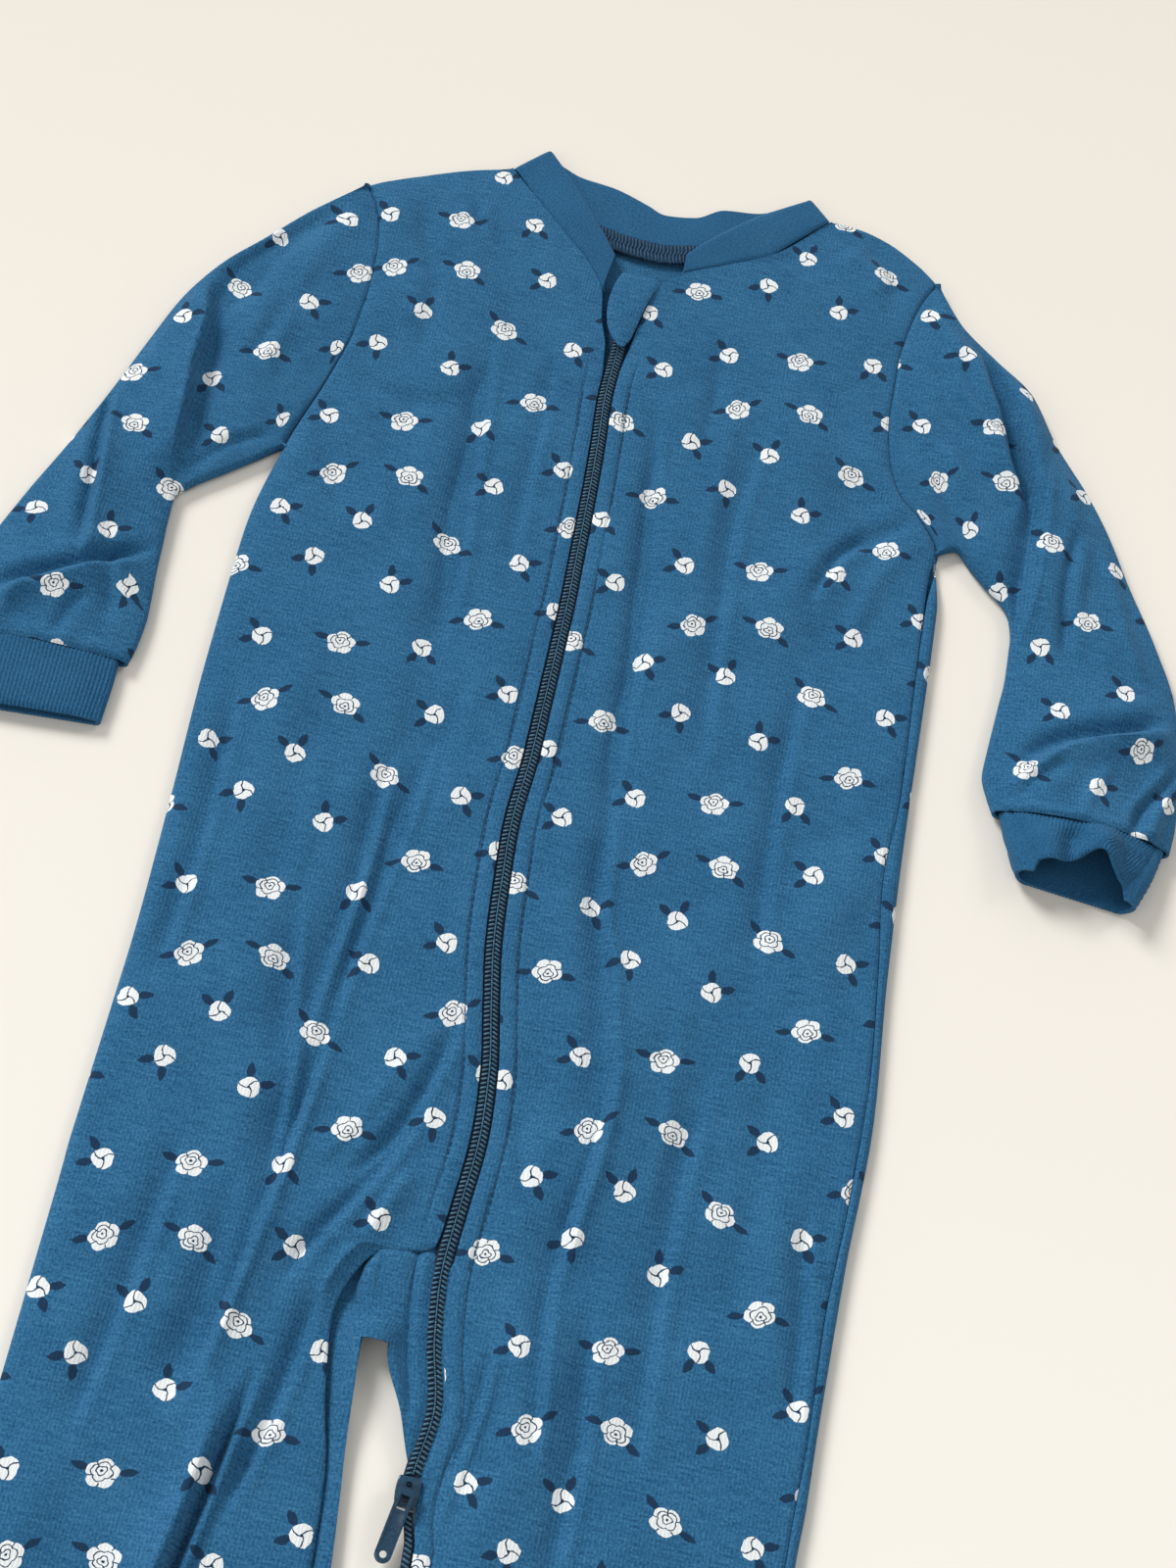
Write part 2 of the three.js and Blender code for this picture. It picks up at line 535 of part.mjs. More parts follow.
// The collar: one doubled band from one side of the zip round the neck to the other. It folds at
// the two neck points, so that its front parts lie over its back part.
const collarFoldZ = 5;
const collarCells = 3;
const rightCollar = table(['place', 'freeX', 'freeY', 'freeZ'],
  [rightNeck, -17.5, 115, 6.6], [rightNeck + 1, -24, 124, 7.2], [rightNeck + 2, -33.5, 136, 7.6],
  [rightNeck + 3, -43.5, 149.5, 6.8]);
const leftCollar = table(['place', 'freeX', 'freeY', 'freeZ'],
  [leftNeck + 1, 11.5, 123.5, 6.6], [leftNeck + 1.6, 15.5, 129, 7], [leftNeck + 2.3, 24, 138.5, 7.6],
  [leftNeck + 3, 37, 152.5, 6.8]);
const backCollar = table(['x', 'freeX', 'freeY'],
  [-58, -49, 158.5], [-44, -39, 154.5], [-26, -25, 153], [-9, -9, 148], [1, -1, 145], [14, 12, 147.5],
  [30, 23, 155], [46, 37, 157.5], [59, 50, 164]);
const rightPeak = { x: -55.4, y: 163.8 };
const leftPeak = { x: 58.5, y: 170.7 };

// The back neckline's y at an x, on the top row of the back
function backNeckY(x) {
  const controls = armControls(1);
  const span = [1, 2, 3].find((k) => x <= controls[k + 1][0]) ?? 3;
  const s = clamp((x - controls[span][0]) / (controls[span + 1][0] - controls[span][0]));
  return backSpan(controls, span, s, 1)[1];
}

function collarPiece() {
  const sections = [];
  const across = (seam, free) => sections.push(Array.from({ length: collarCells + 1 }, (_, j) => {
    const s = j / collarCells;
    return seam.map((v, k) => mix(v, free[k], s));
  }));
  const frontBand = (rows, front, side, list) => list.forEach((k) => {
    const { place, freeX, freeY, freeZ } = rows[k];
    const row = frontRow(front, place, side);
    const reach = Math.hypot(freeX - row.inX, freeY - row.inY);
    const step = (seamGap + 0.15) / reach;
    across([mix(row.inX, freeX, step), mix(row.inY, freeY, step), row.inZ + 0.6], [freeX, freeY, freeZ]);
  });
  // The turn at a neck point goes round half a circle, from the upper layer to the surface
  const turn = (neck, peak, side, order) => {
    const length = Math.hypot(peak.x - neck.x, peak.y - neck.y);
    const out = [side * (peak.y - neck.y) / length, -side * (peak.x - neck.x) / length];
    const radius = collarFoldZ / 2;
    for (const degrees of order) {
      const reach = radius * (Math.cos(degrees * radians) - 1);
      const z = radius * (1 + Math.sin(degrees * radians));
      const near = 0.06;
      across([mix(neck.x, peak.x, near) + out[0] * reach, mix(neck.y, peak.y, near) + out[1] * reach, z],
        [peak.x + out[0] * reach, peak.y + out[1] * reach, z]);
    }
  };
  frontBand(rightCollar, rightFront, -1, [0, 1, 2, 3]);
  turn(rightNeckPoint, rightPeak, -1, [90, 45, 0, -45, -90]);
  for (const { x, freeX, freeY } of backCollar) {
    across([x, backNeckY(x) + seamGap + 0.15, 0], [freeX, freeY, 0]);
  }
  turn(leftNeckPoint, leftPeak, 1, [-90, -45, 0, 45, 90]);
  frontBand(leftCollar, leftFront, 1, [3, 2, 1, 0]);
  return wallGeometry(sections, { wall: bandWall, outward: 1 });
}

// The overlocked seam allowance inside the back neck, turned down on to the back
const allowance = { from: -50, to: 48, width: 10, cells: 12 };
function neckAllowance() {
  const grid = Array.from({ length: allowance.cells + 1 }, (_, i) => {
    const x = mix(allowance.from, allowance.to, i / allowance.cells);
    const y = backNeckY(x) - seamGap;
    const z = 2 * clothWall + layerGap;
    return [[x, y, z], [x, y - allowance.width / 2, z], [x, y - allowance.width, z]];
  });
  return wallGeometry(grid, { wall: clothWall });
}

// The zip's closed chain, and the two rows of coil that part below the slider
function stripPiece(ys, centre, half, edgeZ, wall, crown) {
  const grid = ys.map((y) => [-1, 0, 1].map((side) => [
    centre(y) + side * half, y, edgeZ + (side ? 0 : crown)]));
  return wallGeometry(grid, { wall });
}

const steps = (from, to, step) => {
  const count = Math.round(Math.abs(to - from) / step);
  return Array.from({ length: count + 1 }, (_, i) => mix(from, to, i / count));
};

const chainEndY = sliderY + sliderHalfLength + seamGap;
const rowStartY = sliderY - sliderHalfLength - seamGap;
const coilEdgeZ = chainTopZ - 0.4; // the coil is a little lower at its edges
const chainPiece = () => stripPiece(
  steps(chainEndY, chainTopY, 10), zipX, zipHalf, coilEdgeZ, chainWall, chainTopZ - coilEdgeZ);
const frontRowPiece = () => stripPiece(
  steps(hemY + 2, rowStartY, 16), (y) => zipX(y) + rowShift, rowHalf, coilEdgeZ - 0.1, chainWall, 0.3);
const backRowX = (y) => {
  const k = backRows.findIndex((row, i) => i > 0 && row.gapY >= y) - 1;
  return rowAt(backRows, k + (y - backRows[k].gapY) / (backRows[k + 1].gapY - backRows[k].gapY)).gapRightX;
};
const backRowPiece = () => stripPiece(steps(hemY + 2, rowStartY - 2, 16),
  (y) => backRowX(y) - rowHalf - seamGap, rowHalf, 1.9, 1.8, 0.2);

// The zip garage: a folded tab of the same jersey that covers the top slider
const garage = table(['y', 'leftX', 'rightX', 'crownZ', 'steps'],
  [67.5, -7.4, -5.2, 7.6, 1], [72, -11, -3.2, 8.2, 1], [78, -14, -2, 8.6, 1], [88, -15.6, -0.4, 8.6, 1],
  [98, -14.8, 1.6, 8.4, 1], [105.5, -12.6, 2.6, 7.8, 1]);
function garagePiece() {
  const grid = places(garage).map((place) => {
    const row = rowAt(garage, place);
    return [0, 0.2, 0.5, 0.8, 1].map((s) => {
      const edge = 7.4;
      return [mix(row.leftX, row.rightX, s), row.y, mix(edge, row.crownZ, Math.sin(Math.PI * s) ** 0.6)];
    });
  });
  return wallGeometry(grid, { wall: clothWall });
}

// Joins solids from three.js geometries into one closed geometry
function toSolid(geometry) {
  const bare = geometry.clone();
  bare.deleteAttribute('normal');
  bare.deleteAttribute('uv');
  const merged = mergeVertices(bare, 1e-4);
  return new wasm.Manifold(new wasm.Mesh({
    numProp: 3,
    vertProperties: new Float32Array(merged.attributes.position.array),
    triVerts: new Uint32Array(merged.index.array),
  }));
}

function fromSolid(solid) {
  const mesh = solid.getMesh();
  const geometry = new THREE.BufferGeometry();
  geometry.setAttribute('position', new THREE.BufferAttribute(new Float32Array(mesh.vertProperties), 3));
  geometry.setIndex([...mesh.triVerts]);
  return geometry;
}

const join = (...geometries) => fromSolid(geometries.map(toSolid).reduce((a, b) => a.add(b)));

function plate(outline, depth, z) {
  const geometry = new THREE.ExtrudeGeometry(outline, { depth, bevelEnabled: false, curveSegments: 6 });
  return geometry.translate(0, 0, z);
}

// A slider's outline: wide shoulders where the rows come in, narrower where the chain leaves
function sliderOutline(half, length) {
  const shape = new THREE.Shape();
  shape.moveTo(-half * 0.72, length);
  shape.quadraticCurveTo(-half, length, -half, length * 0.35);
  shape.lineTo(-half, -length * 0.5);
  shape.quadraticCurveTo(-half, -length, -half * 0.55, -length);
  shape.lineTo(half * 0.55, -length);
  shape.quadraticCurveTo(half, -length, half, -length * 0.5);
  shape.lineTo(half, length * 0.35);
  shape.quadraticCurveTo(half, length, half * 0.72, length);
  shape.closePath();
  return shape;
}

// The lug is an arch along the slider, and the pull's bar passes under it
const lug = { halfLength: 3.2, halfWidth: 0.9, wall: 1, rise: 4.6 };
function lugGeometry(baseZ) {
  const shape = new THREE.Shape();
  shape.moveTo(-lug.halfLength, 0);
  shape.lineTo(-lug.halfLength, lug.rise * 0.5);
  shape.quadraticCurveTo(-lug.halfLength, lug.rise, 0, lug.rise);
  shape.quadraticCurveTo(lug.halfLength, lug.rise, lug.halfLength, lug.rise * 0.5);
  shape.lineTo(lug.halfLength, 0);
  shape.lineTo(lug.halfLength - lug.wall, 0);
  shape.lineTo(lug.halfLength - lug.wall, lug.rise * 0.5);
  shape.quadraticCurveTo(lug.halfLength - lug.wall, lug.rise - lug.wall, 0, lug.rise - lug.wall);
  shape.quadraticCurveTo(
    lug.wall - lug.halfLength, lug.rise - lug.wall, lug.wall - lug.halfLength, lug.rise * 0.5);
  shape.lineTo(lug.wall - lug.halfLength, 0);
  shape.closePath();
  const geometry = new THREE.ExtrudeGeometry(shape, {
    depth: 2 * lug.halfWidth, bevelEnabled: false, curveSegments: 5 });
  // The arch is drawn across X and stood up along Y
  geometry.translate(0, 0, -lug.halfWidth).rotateX(Math.PI / 2).rotateZ(Math.PI / 2);
  return geometry.translate(0, 0, baseZ - 0.2);
}

const sliderCoreHalf = 2.7;
const coreHeight = sliderPlateZ - sliderFootZ + 0.2; // sunk into the plate, so that they join
function sliderPiece(withLug) {
  const parts = [
    plate(sliderOutline(sliderPlateHalf, sliderHalfLength), sliderPlate, sliderPlateZ),
    plate(sliderOutline(sliderCoreHalf, sliderHalfLength - 0.4), coreHeight, sliderFootZ)];
  if (withLug) parts.push(lugGeometry(sliderPlateZ + sliderPlate));
  return join(...parts);
}

// The pull: a bar under the lug, two arms, and a tab with a round hole at its end. It is drawn
// level along -Y from its pin.
const pullArm = { from: 1.55, reach: 6.2 };
function pullPiece() {
  const half = pullWidth / 2;
  const shape = new THREE.Shape();
  shape.moveTo(-half, 0);
  shape.lineTo(half, 0);
  shape.lineTo(half, -pullLength + half);
  shape.absarc(0, -pullLength + half, half, 0, -Math.PI, true);
  shape.closePath();
  const slot = new THREE.Path();
  slot.moveTo(-pullArm.from, -2 * pullBar);
  slot.lineTo(-pullArm.from, -pullArm.reach);
  slot.lineTo(pullArm.from, -pullArm.reach);
  slot.lineTo(pullArm.from, -2 * pullBar);
  slot.closePath();
  const hole = new THREE.Path();
  hole.absellipse(0, -pullLength + half, 1.2, 1.2, 0, 2 * Math.PI, false);
  shape.holes.push(slot, hole);
  const tab = new THREE.ExtrudeGeometry(shape, { depth: pullThick, bevelEnabled: false, curveSegments: 8 });
  tab.translate(0, pullBar, -pullThick / 2);
  return tab;
}

function placed(geometry, { x = 0, y = 0, z = 0, tilt = 0, turn = 0 }) {
  return geometry.rotateX(tilt * radians).rotateZ(turn * radians).translate(x, y, z);
}

const onesie = new THREE.Group();
function add(name, geometry, color, roughness = 0.92, metalness = 0) {
  const bare = geometry.index ? geometry : mergeVertices(geometry);
  const mesh = new THREE.Mesh(bare, new THREE.MeshStandardMaterial({ color, roughness, metalness }));
  mesh.name = name;
  onesie.add(mesh);
}

const frontCells = 14;
add('back', backPiece(), blue);
add('front_right', frontPiece(rightFront, rightFolds, -1, frontCells), blue);
add('front_left', frontPiece(leftFront, leftFolds, 1, frontCells), blue);
add('sleeve_right', sleevePiece(rightSleeve, rightFront, rightArmpit, -1, rightSleeveFolds), blue);
add('sleeve_left', sleevePiece(leftSleeve, leftFront, leftArmpit, 1, leftSleeveFolds), blue);
add('cuff_right', tubePiece(rightCuff), bandBlue);
add('cuff_left', tubePiece(leftCuff, leftCuffFolds), bandBlue);
add('ankle_cuff_right', tubePiece(rightAnkle), bandBlue);
add('ankle_cuff_left', tubePiece(leftAnkle), bandBlue);
add('collar', collarPiece(), bandBlue);
add('neck_allowance', neckAllowance(), bandBlue);
add('zip_garage', garagePiece(), bandBlue);
add('zip_chain', chainPiece(), navy, 0.55);
add('zip_row_front', frontRowPiece(), navy, 0.55);
add('zip_row_back', backRowPiece(), navy, 0.55);
const sliderX = zipX(sliderY);
add('slider', placed(sliderPiece(true), { x: sliderX, y: sliderY }), tealMetal, 0.35, 0.6);
const topSliderY = chainTopY + seamGap + sliderHalfLength;
const topSliderDrop = -1; // the cloth over it presses it down
add('slider_top', placed(sliderPiece(false), { x: zipX(topSliderY), y: topSliderY, z: topSliderDrop }),
  tealMetal, 0.35, 0.6);
add('pull_tab', placed(pullPiece(), {
  x: sliderX, y: sliderY, z: pullPinZ, tilt: pullDrop, turn: pullTurn }), tealMetal, 0.4, 0.5);

export default onesie;
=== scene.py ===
# A zip-through onesie pajama in printed interlock jersey, laid on its back on a pale surface.
# X is across, with the wearer's left at +X. Y runs up to the neck, and Z up from the surface.
# Tables are in millimetres, and meshes are made in metres.
import math
import bpy
import numpy as np
from mathutils import Matrix, Vector


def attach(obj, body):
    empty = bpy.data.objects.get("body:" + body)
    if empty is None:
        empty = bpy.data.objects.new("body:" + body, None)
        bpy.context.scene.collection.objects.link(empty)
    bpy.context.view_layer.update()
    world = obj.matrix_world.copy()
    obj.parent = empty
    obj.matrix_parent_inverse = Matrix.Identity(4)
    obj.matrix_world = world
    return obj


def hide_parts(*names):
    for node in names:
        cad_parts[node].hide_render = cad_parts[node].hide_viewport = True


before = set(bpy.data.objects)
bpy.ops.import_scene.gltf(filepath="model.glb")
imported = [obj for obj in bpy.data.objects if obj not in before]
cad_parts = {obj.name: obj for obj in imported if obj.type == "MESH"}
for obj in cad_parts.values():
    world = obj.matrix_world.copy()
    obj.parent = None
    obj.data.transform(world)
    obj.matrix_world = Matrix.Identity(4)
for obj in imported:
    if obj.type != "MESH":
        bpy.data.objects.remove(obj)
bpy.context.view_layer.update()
mm = 0.001
clothUnit = 100  # mm of cloth to one unit of its UV map
print("frame loaded:", len(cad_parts), "nodes")


# Tables and curves
def table(names, *rows):
    return {"names": names.split(), "rows": np.array(rows, float)}


def mix(a, b, t):
    return a + (b - a) * t


def smooth(t):
    t = np.clip(t, 0, 1)
    return t * t * (3 - 2 * t)


def runAcross(grid):
    # how far along its row each point of a grid lies
    steps = np.linalg.norm(np.diff(grid, axis=1), axis=2)
    return np.concatenate([np.zeros((len(grid), 1)), np.cumsum(steps, 1)], 1)


def rowAt(t, place):
    # the values of a table between its rows, without overshoot
    rows = t["rows"]
    last = len(rows) - 1
    step = np.diff(rows, axis=0)
    slopes = np.empty_like(rows)
    slopes[0], slopes[-1] = step[0], step[-1]
    product = step[:-1] * step[1:]
    total = np.where(product > 0, step[:-1] + step[1:], 1)
    slopes[1:-1] = np.where(product > 0, 2 * product / total, 0)
    place = np.clip(np.asarray(place, float), 0, last)
    k = np.minimum(place.astype(int), last - 1)
    u = (place - k)[..., None]
    u2, u3 = u**2, u**3
    values = (2 * u3 - 3 * u2 + 1) * rows[k] + (u3 - 2 * u2 + u) * slopes[k]
    values = values + (3 * u2 - 2 * u3) * rows[k + 1] + (u3 - u2) * slopes[k + 1]
    return dict(zip(t["names"], np.moveaxis(values, -1, 0)))


def places(t, step, start=0, end=None):
    # where to sample a table, so that no step is longer than the given one
    rows = t["rows"]
    end = len(rows) - 1 if end is None else end
    found = []
    for k in range(start, end):
        reach = np.abs(rows[k + 1] - rows[k])[t["measured"]].max()
        count = max(1, math.ceil(reach / step))
        found += [k + i / count for i in range(count)]
    return np.array(found + [end], float)


def column(t, name):
    return t["rows"][:, t["names"].index(name)]


# The zip's centre line, from the neck to the wearer's left ankle
zipLine = table("y x",
    [106, -8], [68, -7.2], [46, -7.8], [16, -6], [-4, -5], [-34, -4], [-63, -3.2], [-123, -3.2],
    [-153, -4.6], [-178, -3.2], [-202, -1], [-227, 3.4], [-252, 8], [-277, 9.8], [-302, 8.4],
    [-322, 7.4], [-346, 10], [-371, 15.2], [-392, 13], [-400, 12.4], [-412, 14.8], [-470, 20],
    [-540, 26], [-640, 37])


def zipX(y):
    ys = -column(zipLine, "y")
    return rowAt(zipLine, np.interp(-np.asarray(y, float), ys, np.arange(len(ys))))["x"]


# A fold: how far the cloth rises along a path, and how wide it is on the left and right of the
# path. A negative rise is a trough.
def fold(rise, left, right, *path):
    path = np.array(path, float)
    ends = np.vstack([2 * path[0] - path[1], path, 2 * path[-1] - path[-2]])
    fine = []
    for k in range(1, len(ends) - 2):
        a, b, c, d = ends[k - 1:k + 3]
        for u in np.arange(0, 1, 0.25):
            fine.append(0.5 * (2 * b + (c - a) * u + (2 * a - 5 * b + 4 * c - d) * u**2
                               + (3 * b - a - 3 * c + d) * u**3))
    return rise, left, right, np.array(fine + [path[-1]])


foldForm = {"reach": 3.6, "fade": 4, "lipBelow": 8, "lip": 0.28, "lipAt": 1.8, "lipWidth": 1.3}


def foldLift(folds, x, y):
    lift = np.zeros(x.shape)
    for rise, left, right, path in folds:
        reach = foldForm["reach"] * max(left, right)
        low, high = path.min(0) - reach, path.max(0) + reach
        inside = (x > low[0]) & (x < high[0]) & (y > low[1]) & (y < high[1])
        if not inside.any():
            continue
        px, py = x[inside], y[inside]
        best = np.full(px.shape, np.inf)
        side, at = np.zeros(px.shape), np.zeros(px.shape)
        span = np.diff(path, axis=0)
        length = np.hypot(*span.T)
        run = np.concatenate([[0], np.cumsum(length)])
        for k, (sx, sy) in enumerate(span):
            dx, dy = px - path[k, 0], py - path[k, 1]
            t = np.clip((dx * sx + dy * sy) / length[k] ** 2, 0, 1)
            d = np.hypot(dx - sx * t, dy - sy * t)
            near = d < best
            best = np.where(near, d, best)
            side = np.where(near, sx * dy - sy * dx, side)
            at = np.where(near, (run[k] + t * length[k]) / run[-1], at)
        width = np.where(side > 0, left, right)
        fade = smooth(at * foldForm["fade"]) * smooth((1 - at) * foldForm["fade"])
        form = np.exp(-((best / width) ** 2))
        if rise < 0 and max(left, right) < foldForm["lipBelow"]:
            # a narrow trough has raised lips
            beside = best / width / foldForm["lipWidth"] - foldForm["lipAt"]
            form -= foldForm["lip"] * np.exp(-(beside**2))
        lift[inside] += rise * fade * form
    return lift


hills = {"waves": 14, "lengths": (0.7, 1.6), "even": 2.6}


def unevenness(x, y, seed, wave, depth):
    # gentle hills in all directions: wave is their usual length, and depth their usual height
    rng = np.random.default_rng(seed)
    total = np.zeros(x.shape)
    for _ in range(hills["waves"]):
        angle, phase = rng.uniform(0, 2 * math.pi, 2)
        length = wave * rng.uniform(*hills["lengths"])
        total += np.sin(2 * math.pi * (x * math.cos(angle) + y * math.sin(angle)) / length + phase)
    return depth * total / hills["even"]


# The print: a rose or bud (kind 0 or 1) at each place of one repeat, with its turn in degrees
printChart = {"width": 95, "height": 105, "field": 40}
printRows = table("x y kind turn",
    [12, 8, 0, 24], [42, 15, 1, 190], [78, 3, 1, 78], [24, 38, 1, -30], [60, 32, 0, 205],
    [88, 43, 1, 150], [7, 63, 1, 20], [41, 63, 0, -12], [70, 61, 1, 250], [20, 88, 0, 176],
    [53, 93, 1, 98], [86, 82, 0, 52])


def motifField(corners):
    # where each face lies from its nearest motif, turned with it
    centres = corners.mean(1)
    cell = np.array([printChart["width"], printChart["height"]])
    spots = printRows["rows"][:, :2]
    away = (centres[:, None] - spots[None] + cell / 2) % cell - cell / 2
    nearest = np.argmin((away**2).sum(2), 1)
    local = away[np.arange(len(centres)), nearest][:, None] + corners - centres[:, None]
    kind, turn = printRows["rows"][nearest, 2], np.radians(printRows["rows"][nearest, 3])
    c, s = np.cos(turn)[:, None], np.sin(turn)[:, None]
    x = local[..., 0] * c + local[..., 1] * s
    y = local[..., 1] * c - local[..., 0] * s
    field = printChart["field"]
    return np.stack([x / field + 0.5 + 2 * kind[:, None], y / field + 0.5], 2)


# A cloth wall from a grid of outer points, with flat holding each point's place on the cut cloth
def clothShell(name, grid, flat, wall, materials, outward=1, wrap=False, keep=None, printed=True,
               base=None):
    rows, cols = grid.shape[:2]
    base = grid if base is None else base  # the form without ribs
    along = np.gradient(base, axis=0)
    across = np.roll(base, -1, 1) - np.roll(base, 1, 1) if wrap else np.gradient(base, axis=1)
    normal = np.cross(across, along)
    normal *= outward / np.maximum(np.linalg.norm(normal, axis=2, keepdims=True), 1e-9)
    for _ in range(2):
        # the inside follows the outside's form, but not its finest dips
        padded = np.pad(normal, ((1, 1), (0, 0), (0, 0)), "edge")
        padded = np.pad(padded, ((0, 0), (1, 1), (0, 0)), "wrap" if wrap else "edge")
        normal = (padded[:-2, 1:-1] + padded[2:, 1:-1] + padded[1:-1, :-2] + padded[1:-1, 2:]
                  + 2 * normal)
        normal /= np.maximum(np.linalg.norm(normal, axis=2, keepdims=True), 1e-9)
    points = np.concatenate([grid.reshape(-1, 3), (base - normal * wall).reshape(-1, 3)])
    count = rows * cols
    i, j = np.meshgrid(np.arange(rows - 1), np.arange(cols if wrap else cols - 1), indexing="ij")
    if keep is not None:
        kept = keep(i, j)
        i, j = i[kept], j[kept]
    i, j = i.ravel(), j.ravel()
    a, b = i * cols + j, i * cols + (j + 1) % cols
    outer = np.stack([a, b, b + cols, a + cols], 1)
    if not wrap:
        flat = np.concatenate([flat, flat[:, -1:]], 1)
    cut = np.stack([flat[i, j], flat[i, j + 1], flat[i + 1, j + 1], flat[i + 1, j]], 1)
    if outward < 0:
        outer, cut = outer[:, ::-1], cut[:, ::-1]
    edges = np.stack([outer, np.roll(outer, -1, 1)], 2).reshape(-1, 2)
    free = ~np.isin(edges[:, 0] * count + edges[:, 1], edges[:, 1] * count + edges[:, 0])
    e = edges[free]
    rim = np.stack([e[:, 1], e[:, 0], e[:, 0] + count, e[:, 1] + count], 1)
    faces = np.concatenate([outer, outer[:, ::-1] + count, rim])
    vertexCut = flat[:, :cols].reshape(-1, 2)
    rimCut = vertexCut[rim % count]
    cuts = np.concatenate([cut, cut[:, ::-1], rimCut])
    mesh = bpy.data.meshes.new(name)
    mesh.from_pydata((points * mm).tolist(), [], faces.tolist())
    mesh.uv_layers.new(name="cloth").data.foreach_set("uv", (cuts / clothUnit).ravel())
    if printed:
        mesh.uv_layers.new(name="motif").data.foreach_set("uv", motifField(cuts).ravel())
    for material in materials:
        mesh.materials.append(material)
    inside = np.zeros(len(faces), int)
    inside[len(outer):] = len(materials) - 1
    mesh.polygons.foreach_set("material_index", inside)
    mesh.update()
    piece = addToScene(name, mesh)
    smoothBy(piece, 60)
    low, high = points[:, 2].min().round(2), points[:, 2].max().round(2)
    print(name, len(faces), "faces,", low, "to", high, "mm high")
    return piece


def addToScene(name, data):
    item = bpy.data.objects.new(name, data)
    bpy.context.scene.collection.objects.link(item)
    return item


def selectOnly(piece):
    bpy.ops.object.select_all(action="DESELECT")
    piece.select_set(True)
    bpy.context.view_layer.objects.active = piece


def smoothBy(piece, degrees):
    selectOnly(piece)
    bpy.ops.object.shade_smooth_by_angle(angle=math.radians(degrees))


# Materials
def hexColour(text):
    parts = [int(text[k:k + 2], 16) / 255 for k in (1, 3, 5)]
    return [*(c / 12.92 if c <= 0.04045 else ((c + 0.055) / 1.055) ** 2.4 for c in parts), 1.0]


def addNode(tree, kind, inputs=(), **settings):
    # adds a node, sets it, feeds its inputs with values or links, and gives its first output
    node = tree.nodes.new("ShaderNode" + kind)
    for key, value in settings.items():
        setattr(node, key, value)
    for key, value in inputs.items() if isinstance(inputs, dict) else enumerate(inputs):
        if isinstance(value, bpy.types.NodeSocket):
            tree.links.new(value, node.inputs[key])
        elif value is not None:
            node.inputs[key].default_value = value
    return node.outputs[0] if node.outputs else node


def newMaterial(name):
    material = bpy.data.materials.new(name)
    material.use_nodes = True
    tree = material.node_tree
    tree.nodes.clear()
    shader = addNode(tree, "BsdfPrincipled")
    addNode(tree, "OutputMaterial", [shader])
    return material, tree, shader.node


knit = {
    "ground": "#2b638b",  # the dyed yarn as it lies in full light
    "deep": "#194668",  # in the darker flecks, and as painted shade in the grooves between the ribs of loops
    "pale": "#41799f",
    "line": "#12354f",  # the drawn lines in the flowers
    "flower": "#f0f3f2",
    "leaf": "#172c46",
    "wale": 1.3,  # mm from one rib of loops to the next, drawn coarser than the real 0.9 to show
    "fleck": (9, 0.9),  # mm, long and wide
    "wander": 1.6,  # how far the grain bends the wales, in mm
    "roughness": 0.92, "gloss": 0.12, "bump": 0.6, "relief": 0.00022, "waleRelief": 0.35,
    "fuzz": (0.05, 0.5),  # the light fuzz on cotton: sheen and its roughness
    "inkWear": (0.5, 0.62), "clothThrough": (0.05, 0.06),  # how the print thins with the knit
}


def knitGround(tree, cloth):
    # interlock: fine ribs of loops along the cloth, with flecks of paler and darker yarn
    xy = addNode(tree, "Mapping", {"Vector": cloth, "Scale": (clothUnit, clothUnit, 1)})
    long, wide = knit["fleck"]
    stretched = addNode(tree, "Mapping", {"Vector": xy, "Scale": (1 / long, 1 / wide, 1)})
    flecks = addNode(tree, "TexNoise", {
        "Vector": stretched, "Scale": 1.0, "Detail": 3.0, "Roughness": 0.6})
    grain = addNode(tree, "TexNoise", {"Vector": xy, "Scale": 1.1, "Detail": 2.0, "Roughness": 0.6})
    blotch = addNode(tree, "TexNoise", {"Vector": xy, "Scale": 0.035, "Detail": 2.0})
    x = addNode(tree, "SeparateXYZ", [xy])
    wobble = addNode(tree, "Math", [grain, knit["wander"], x], operation="MULTIPLY_ADD")
    turns = addNode(tree, "Math", [wobble, 2 * math.pi / knit["wale"]], operation="MULTIPLY")
    wale = addNode(tree, "Math", [turns], operation="SINE")
    return flecks, grain, blotch, wale


def yarnColour(tree, colours, shade, shares, deepAt):
    # the yarn's shade, as a sum of patterns with their shares, turned to its colours
    for pattern, share in shares:
        shade = addNode(tree, "Math", [pattern, share, shade], operation="MULTIPLY_ADD")
    ramp = addNode(tree, "ValToRGB", [shade])
    stops = ramp.node.color_ramp.elements
    stops[0].position, stops[0].color = deepAt, hexColour(colours["deep"])
    stops[1].position, stops[1].color = 1.0, hexColour(colours["pale"])
    stops.new(0.6).color = hexColour(colours["ground"])
    return ramp


def finishKnit(tree, shader, colour, grain, raised):
    height = addNode(tree, "Math", [raised, knit["waleRelief"], grain], operation="MULTIPLY_ADD")
    bump = addNode(tree, "Bump", {
        "Height": height, "Strength": knit["bump"], "Distance": knit["relief"]})
    tree.links.new(colour, shader.inputs["Base Color"])
    tree.links.new(bump, shader.inputs["Normal"])
    shader.inputs["Roughness"].default_value = knit["roughness"]
    shader.inputs["Specular IOR Level"].default_value = knit["gloss"]
    shader.inputs["Sheen Weight"].default_value = knit["fuzz"][0]
    shader.inputs["Sheen Roughness"].default_value = knit["fuzz"][1]


